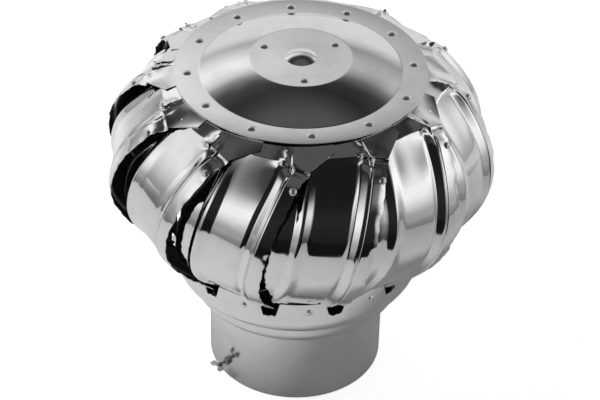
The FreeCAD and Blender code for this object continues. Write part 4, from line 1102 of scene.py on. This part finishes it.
def step_at(tree, value, start, end):
    """0 before start and 1 after end, straight between."""
    node = tree.nodes.new("ShaderNodeMapRange")
    node.inputs["From Min"].default_value = start
    node.inputs["From Max"].default_value = end
    tree.links.new(value, node.inputs["Value"])
    return node.outputs["Result"]


def build_floor():
    mesh = bpy.data.meshes.new("floor")
    corners = [(x * FLOOR_HALF, y * FLOOR_HALF, 0.0) for x, y in ((-1, -1), (1, -1), (1, 1), (-1, 1))]
    mesh.from_pydata(corners, [], [(0, 1, 2, 3)])
    floor = bpy.data.objects.new("floor", mesh)
    bpy.context.scene.collection.objects.link(floor)
    material = bpy.data.materials.new("floor_paper")
    material.use_nodes = True
    tree = material.node_tree
    shader = tree.nodes["Principled BSDF"]
    shader.inputs["Roughness"].default_value = FLOOR_ROUGH
    shader.inputs["Base Color"].default_value = (FLOOR_GREY, FLOOR_GREY, FLOOR_GREY, 1)
    shader.inputs["Emission Color"].default_value = (1, 1, 1, 1)
    rays = tree.nodes.new("ShaderNodeLightPath")
    place = tree.nodes.new("ShaderNodeTexCoord").outputs["Object"]
    away = tree.nodes.new("ShaderNodeVectorMath")
    away.operation = "LENGTH"
    tree.links.new(place, away.inputs[0])
    outside_neck = calculate(tree, "GREATER_THAN", away.outputs["Value"], NECK_INNER)
    glow = calculate(tree, "MULTIPLY", rays.outputs["Is Camera Ray"], outside_neck)
    glow = calculate(tree, "MULTIPLY", glow, CAMERA_GLOW)
    parts = tree.nodes.new("ShaderNodeSeparateXYZ")
    tree.links.new(place, parts.inputs["Vector"])
    sideways = calculate(tree, "ABSOLUTE", parts.outputs["X"])
    past_side = step_at(tree, sideways, TABLE_SIDE, TABLE_SIDE + TABLE_EDGE)
    past_front = step_at(tree, parts.outputs["Y"], TABLE_FRONT, TABLE_FRONT - TABLE_EDGE)
    behind = step_at(tree, parts.outputs["Y"], *BACK_GLOW_SPAN)
    past = calculate(tree, "MAXIMUM", past_side, past_front)
    past = calculate(tree, "MULTIPLY", past, calculate(tree, "SUBTRACT", 1.0, behind))
    back = calculate(tree, "MULTIPLY", rays.outputs["Is Glossy Ray"], behind)
    back = calculate(tree, "MULTIPLY", back, BACK_GLOW)
    tree.links.new(calculate(tree, "ADD", glow, back), shader.inputs["Emission Strength"])
    share = calculate(tree, "MULTIPLY", rays.outputs["Is Glossy Ray"], past)
    dim = tree.nodes.new("ShaderNodeEmission")
    dim.inputs["Color"].default_value = (1, 1, 1, 1)
    near, far = FAR_FLOOR
    level = calculate(tree, "MULTIPLY", step_at(tree, away.outputs["Value"], *FAR_FLOOR_SPAN), far - near)
    level = calculate(tree, "MULTIPLY", wall_level(tree, place), calculate(tree, "ADD", level, near))
    tree.links.new(calculate(tree, "ADD", level, DIMMEST), dim.inputs["Strength"])
    mix = tree.nodes.new("ShaderNodeMixShader")
    tree.links.new(share, mix.inputs[0])
    tree.links.new(shader.outputs[0], mix.inputs[1])
    tree.links.new(dim.outputs[0], mix.inputs[2])
    tree.links.new(mix.outputs[0], tree.nodes["Material Output"].inputs["Surface"])
    mesh.materials.append(material)


build_floor()

# %% Lamp
LAMP_PLACE = Vector((-0.52, -0.08, 1.2))
LAMP_SIZE = 0.5
LAMP_WATTS = 8.8

lamp_data = bpy.data.lights.new("soft_lamp", "AREA")
lamp_data.shape = "DISK"
lamp_data.size = LAMP_SIZE
lamp_data.energy = LAMP_WATTS
lamp = bpy.data.objects.new("soft_lamp", lamp_data)
bpy.context.scene.collection.objects.link(lamp)
lamp.matrix_world = Matrix.Translation(LAMP_PLACE) @ LAMP_PLACE.to_track_quat("Z", "Y").to_matrix().to_4x4()
lamp.visible_glossy = False
print("one soft lamp of", LAMP_WATTS, "W")

# %% World
def build_world():
    """The wall's level by azimuth times its level by height, a dim ceiling and the backdrop."""
    world = bpy.data.worlds.new("room")
    bpy.context.scene.world = world
    world.use_nodes = True
    tree = world.node_tree
    way = tree.nodes.new("ShaderNodeTexCoord").outputs["Generated"]
    parts = tree.nodes.new("ShaderNodeSeparateXYZ")
    tree.links.new(way, parts.inputs["Vector"])
    height = calculate(tree, "ARCSINE", parts.outputs["Z"])
    back = calculate(tree, "POWER", calculate(tree, "MAXIMUM", parts.outputs["Y"], 0.0), LIFT_POWER)
    height = calculate(tree, "SUBTRACT", height, calculate(tree, "MULTIPLY", back, BACK_LIFT))
    height = calculate(tree, "ADD", calculate(tree, "DIVIDE", height, math.pi), 0.5)
    ramp = tree.nodes.new("ShaderNodeValToRGB")
    set_ramp(ramp, [(degrees / HALF_TURN + 0.5, level) for degrees, level in WALL_BY_HEIGHT])
    tree.links.new(height, ramp.inputs["Fac"])
    wall = calculate(tree, "MULTIPLY", wall_level(tree, way), ramp.outputs["Color"])
    overhead = step_at(tree, parts.outputs["Z"], OVERHEAD_FROM, OVERHEAD_FULL)
    ceiling = calculate(tree, "ADD", calculate(tree, "MULTIPLY", overhead, OVERHEAD), CEILING)
    level = calculate(tree, "ADD", wall, ceiling)
    backdrop = calculate(tree, "MULTIPLY", step_at(tree, parts.outputs["Y"], *BACKDROP_SIDE), BACKDROP)
    backdrop = calculate(tree, "MULTIPLY", backdrop, step_at(tree, parts.outputs["Z"], *BACKDROP_TOP))
    level = calculate(tree, "MAXIMUM", level, backdrop)
    rays = tree.nodes.new("ShaderNodeLightPath")
    level = calculate(tree, "MAXIMUM", level, rays.outputs["Is Camera Ray"])
    tree.links.new(level, tree.nodes["Background"].inputs["Color"])
    tree.nodes["Background"].inputs["Strength"].default_value = 1.0


build_world()
bpy.context.scene.view_settings.view_transform = "Standard"
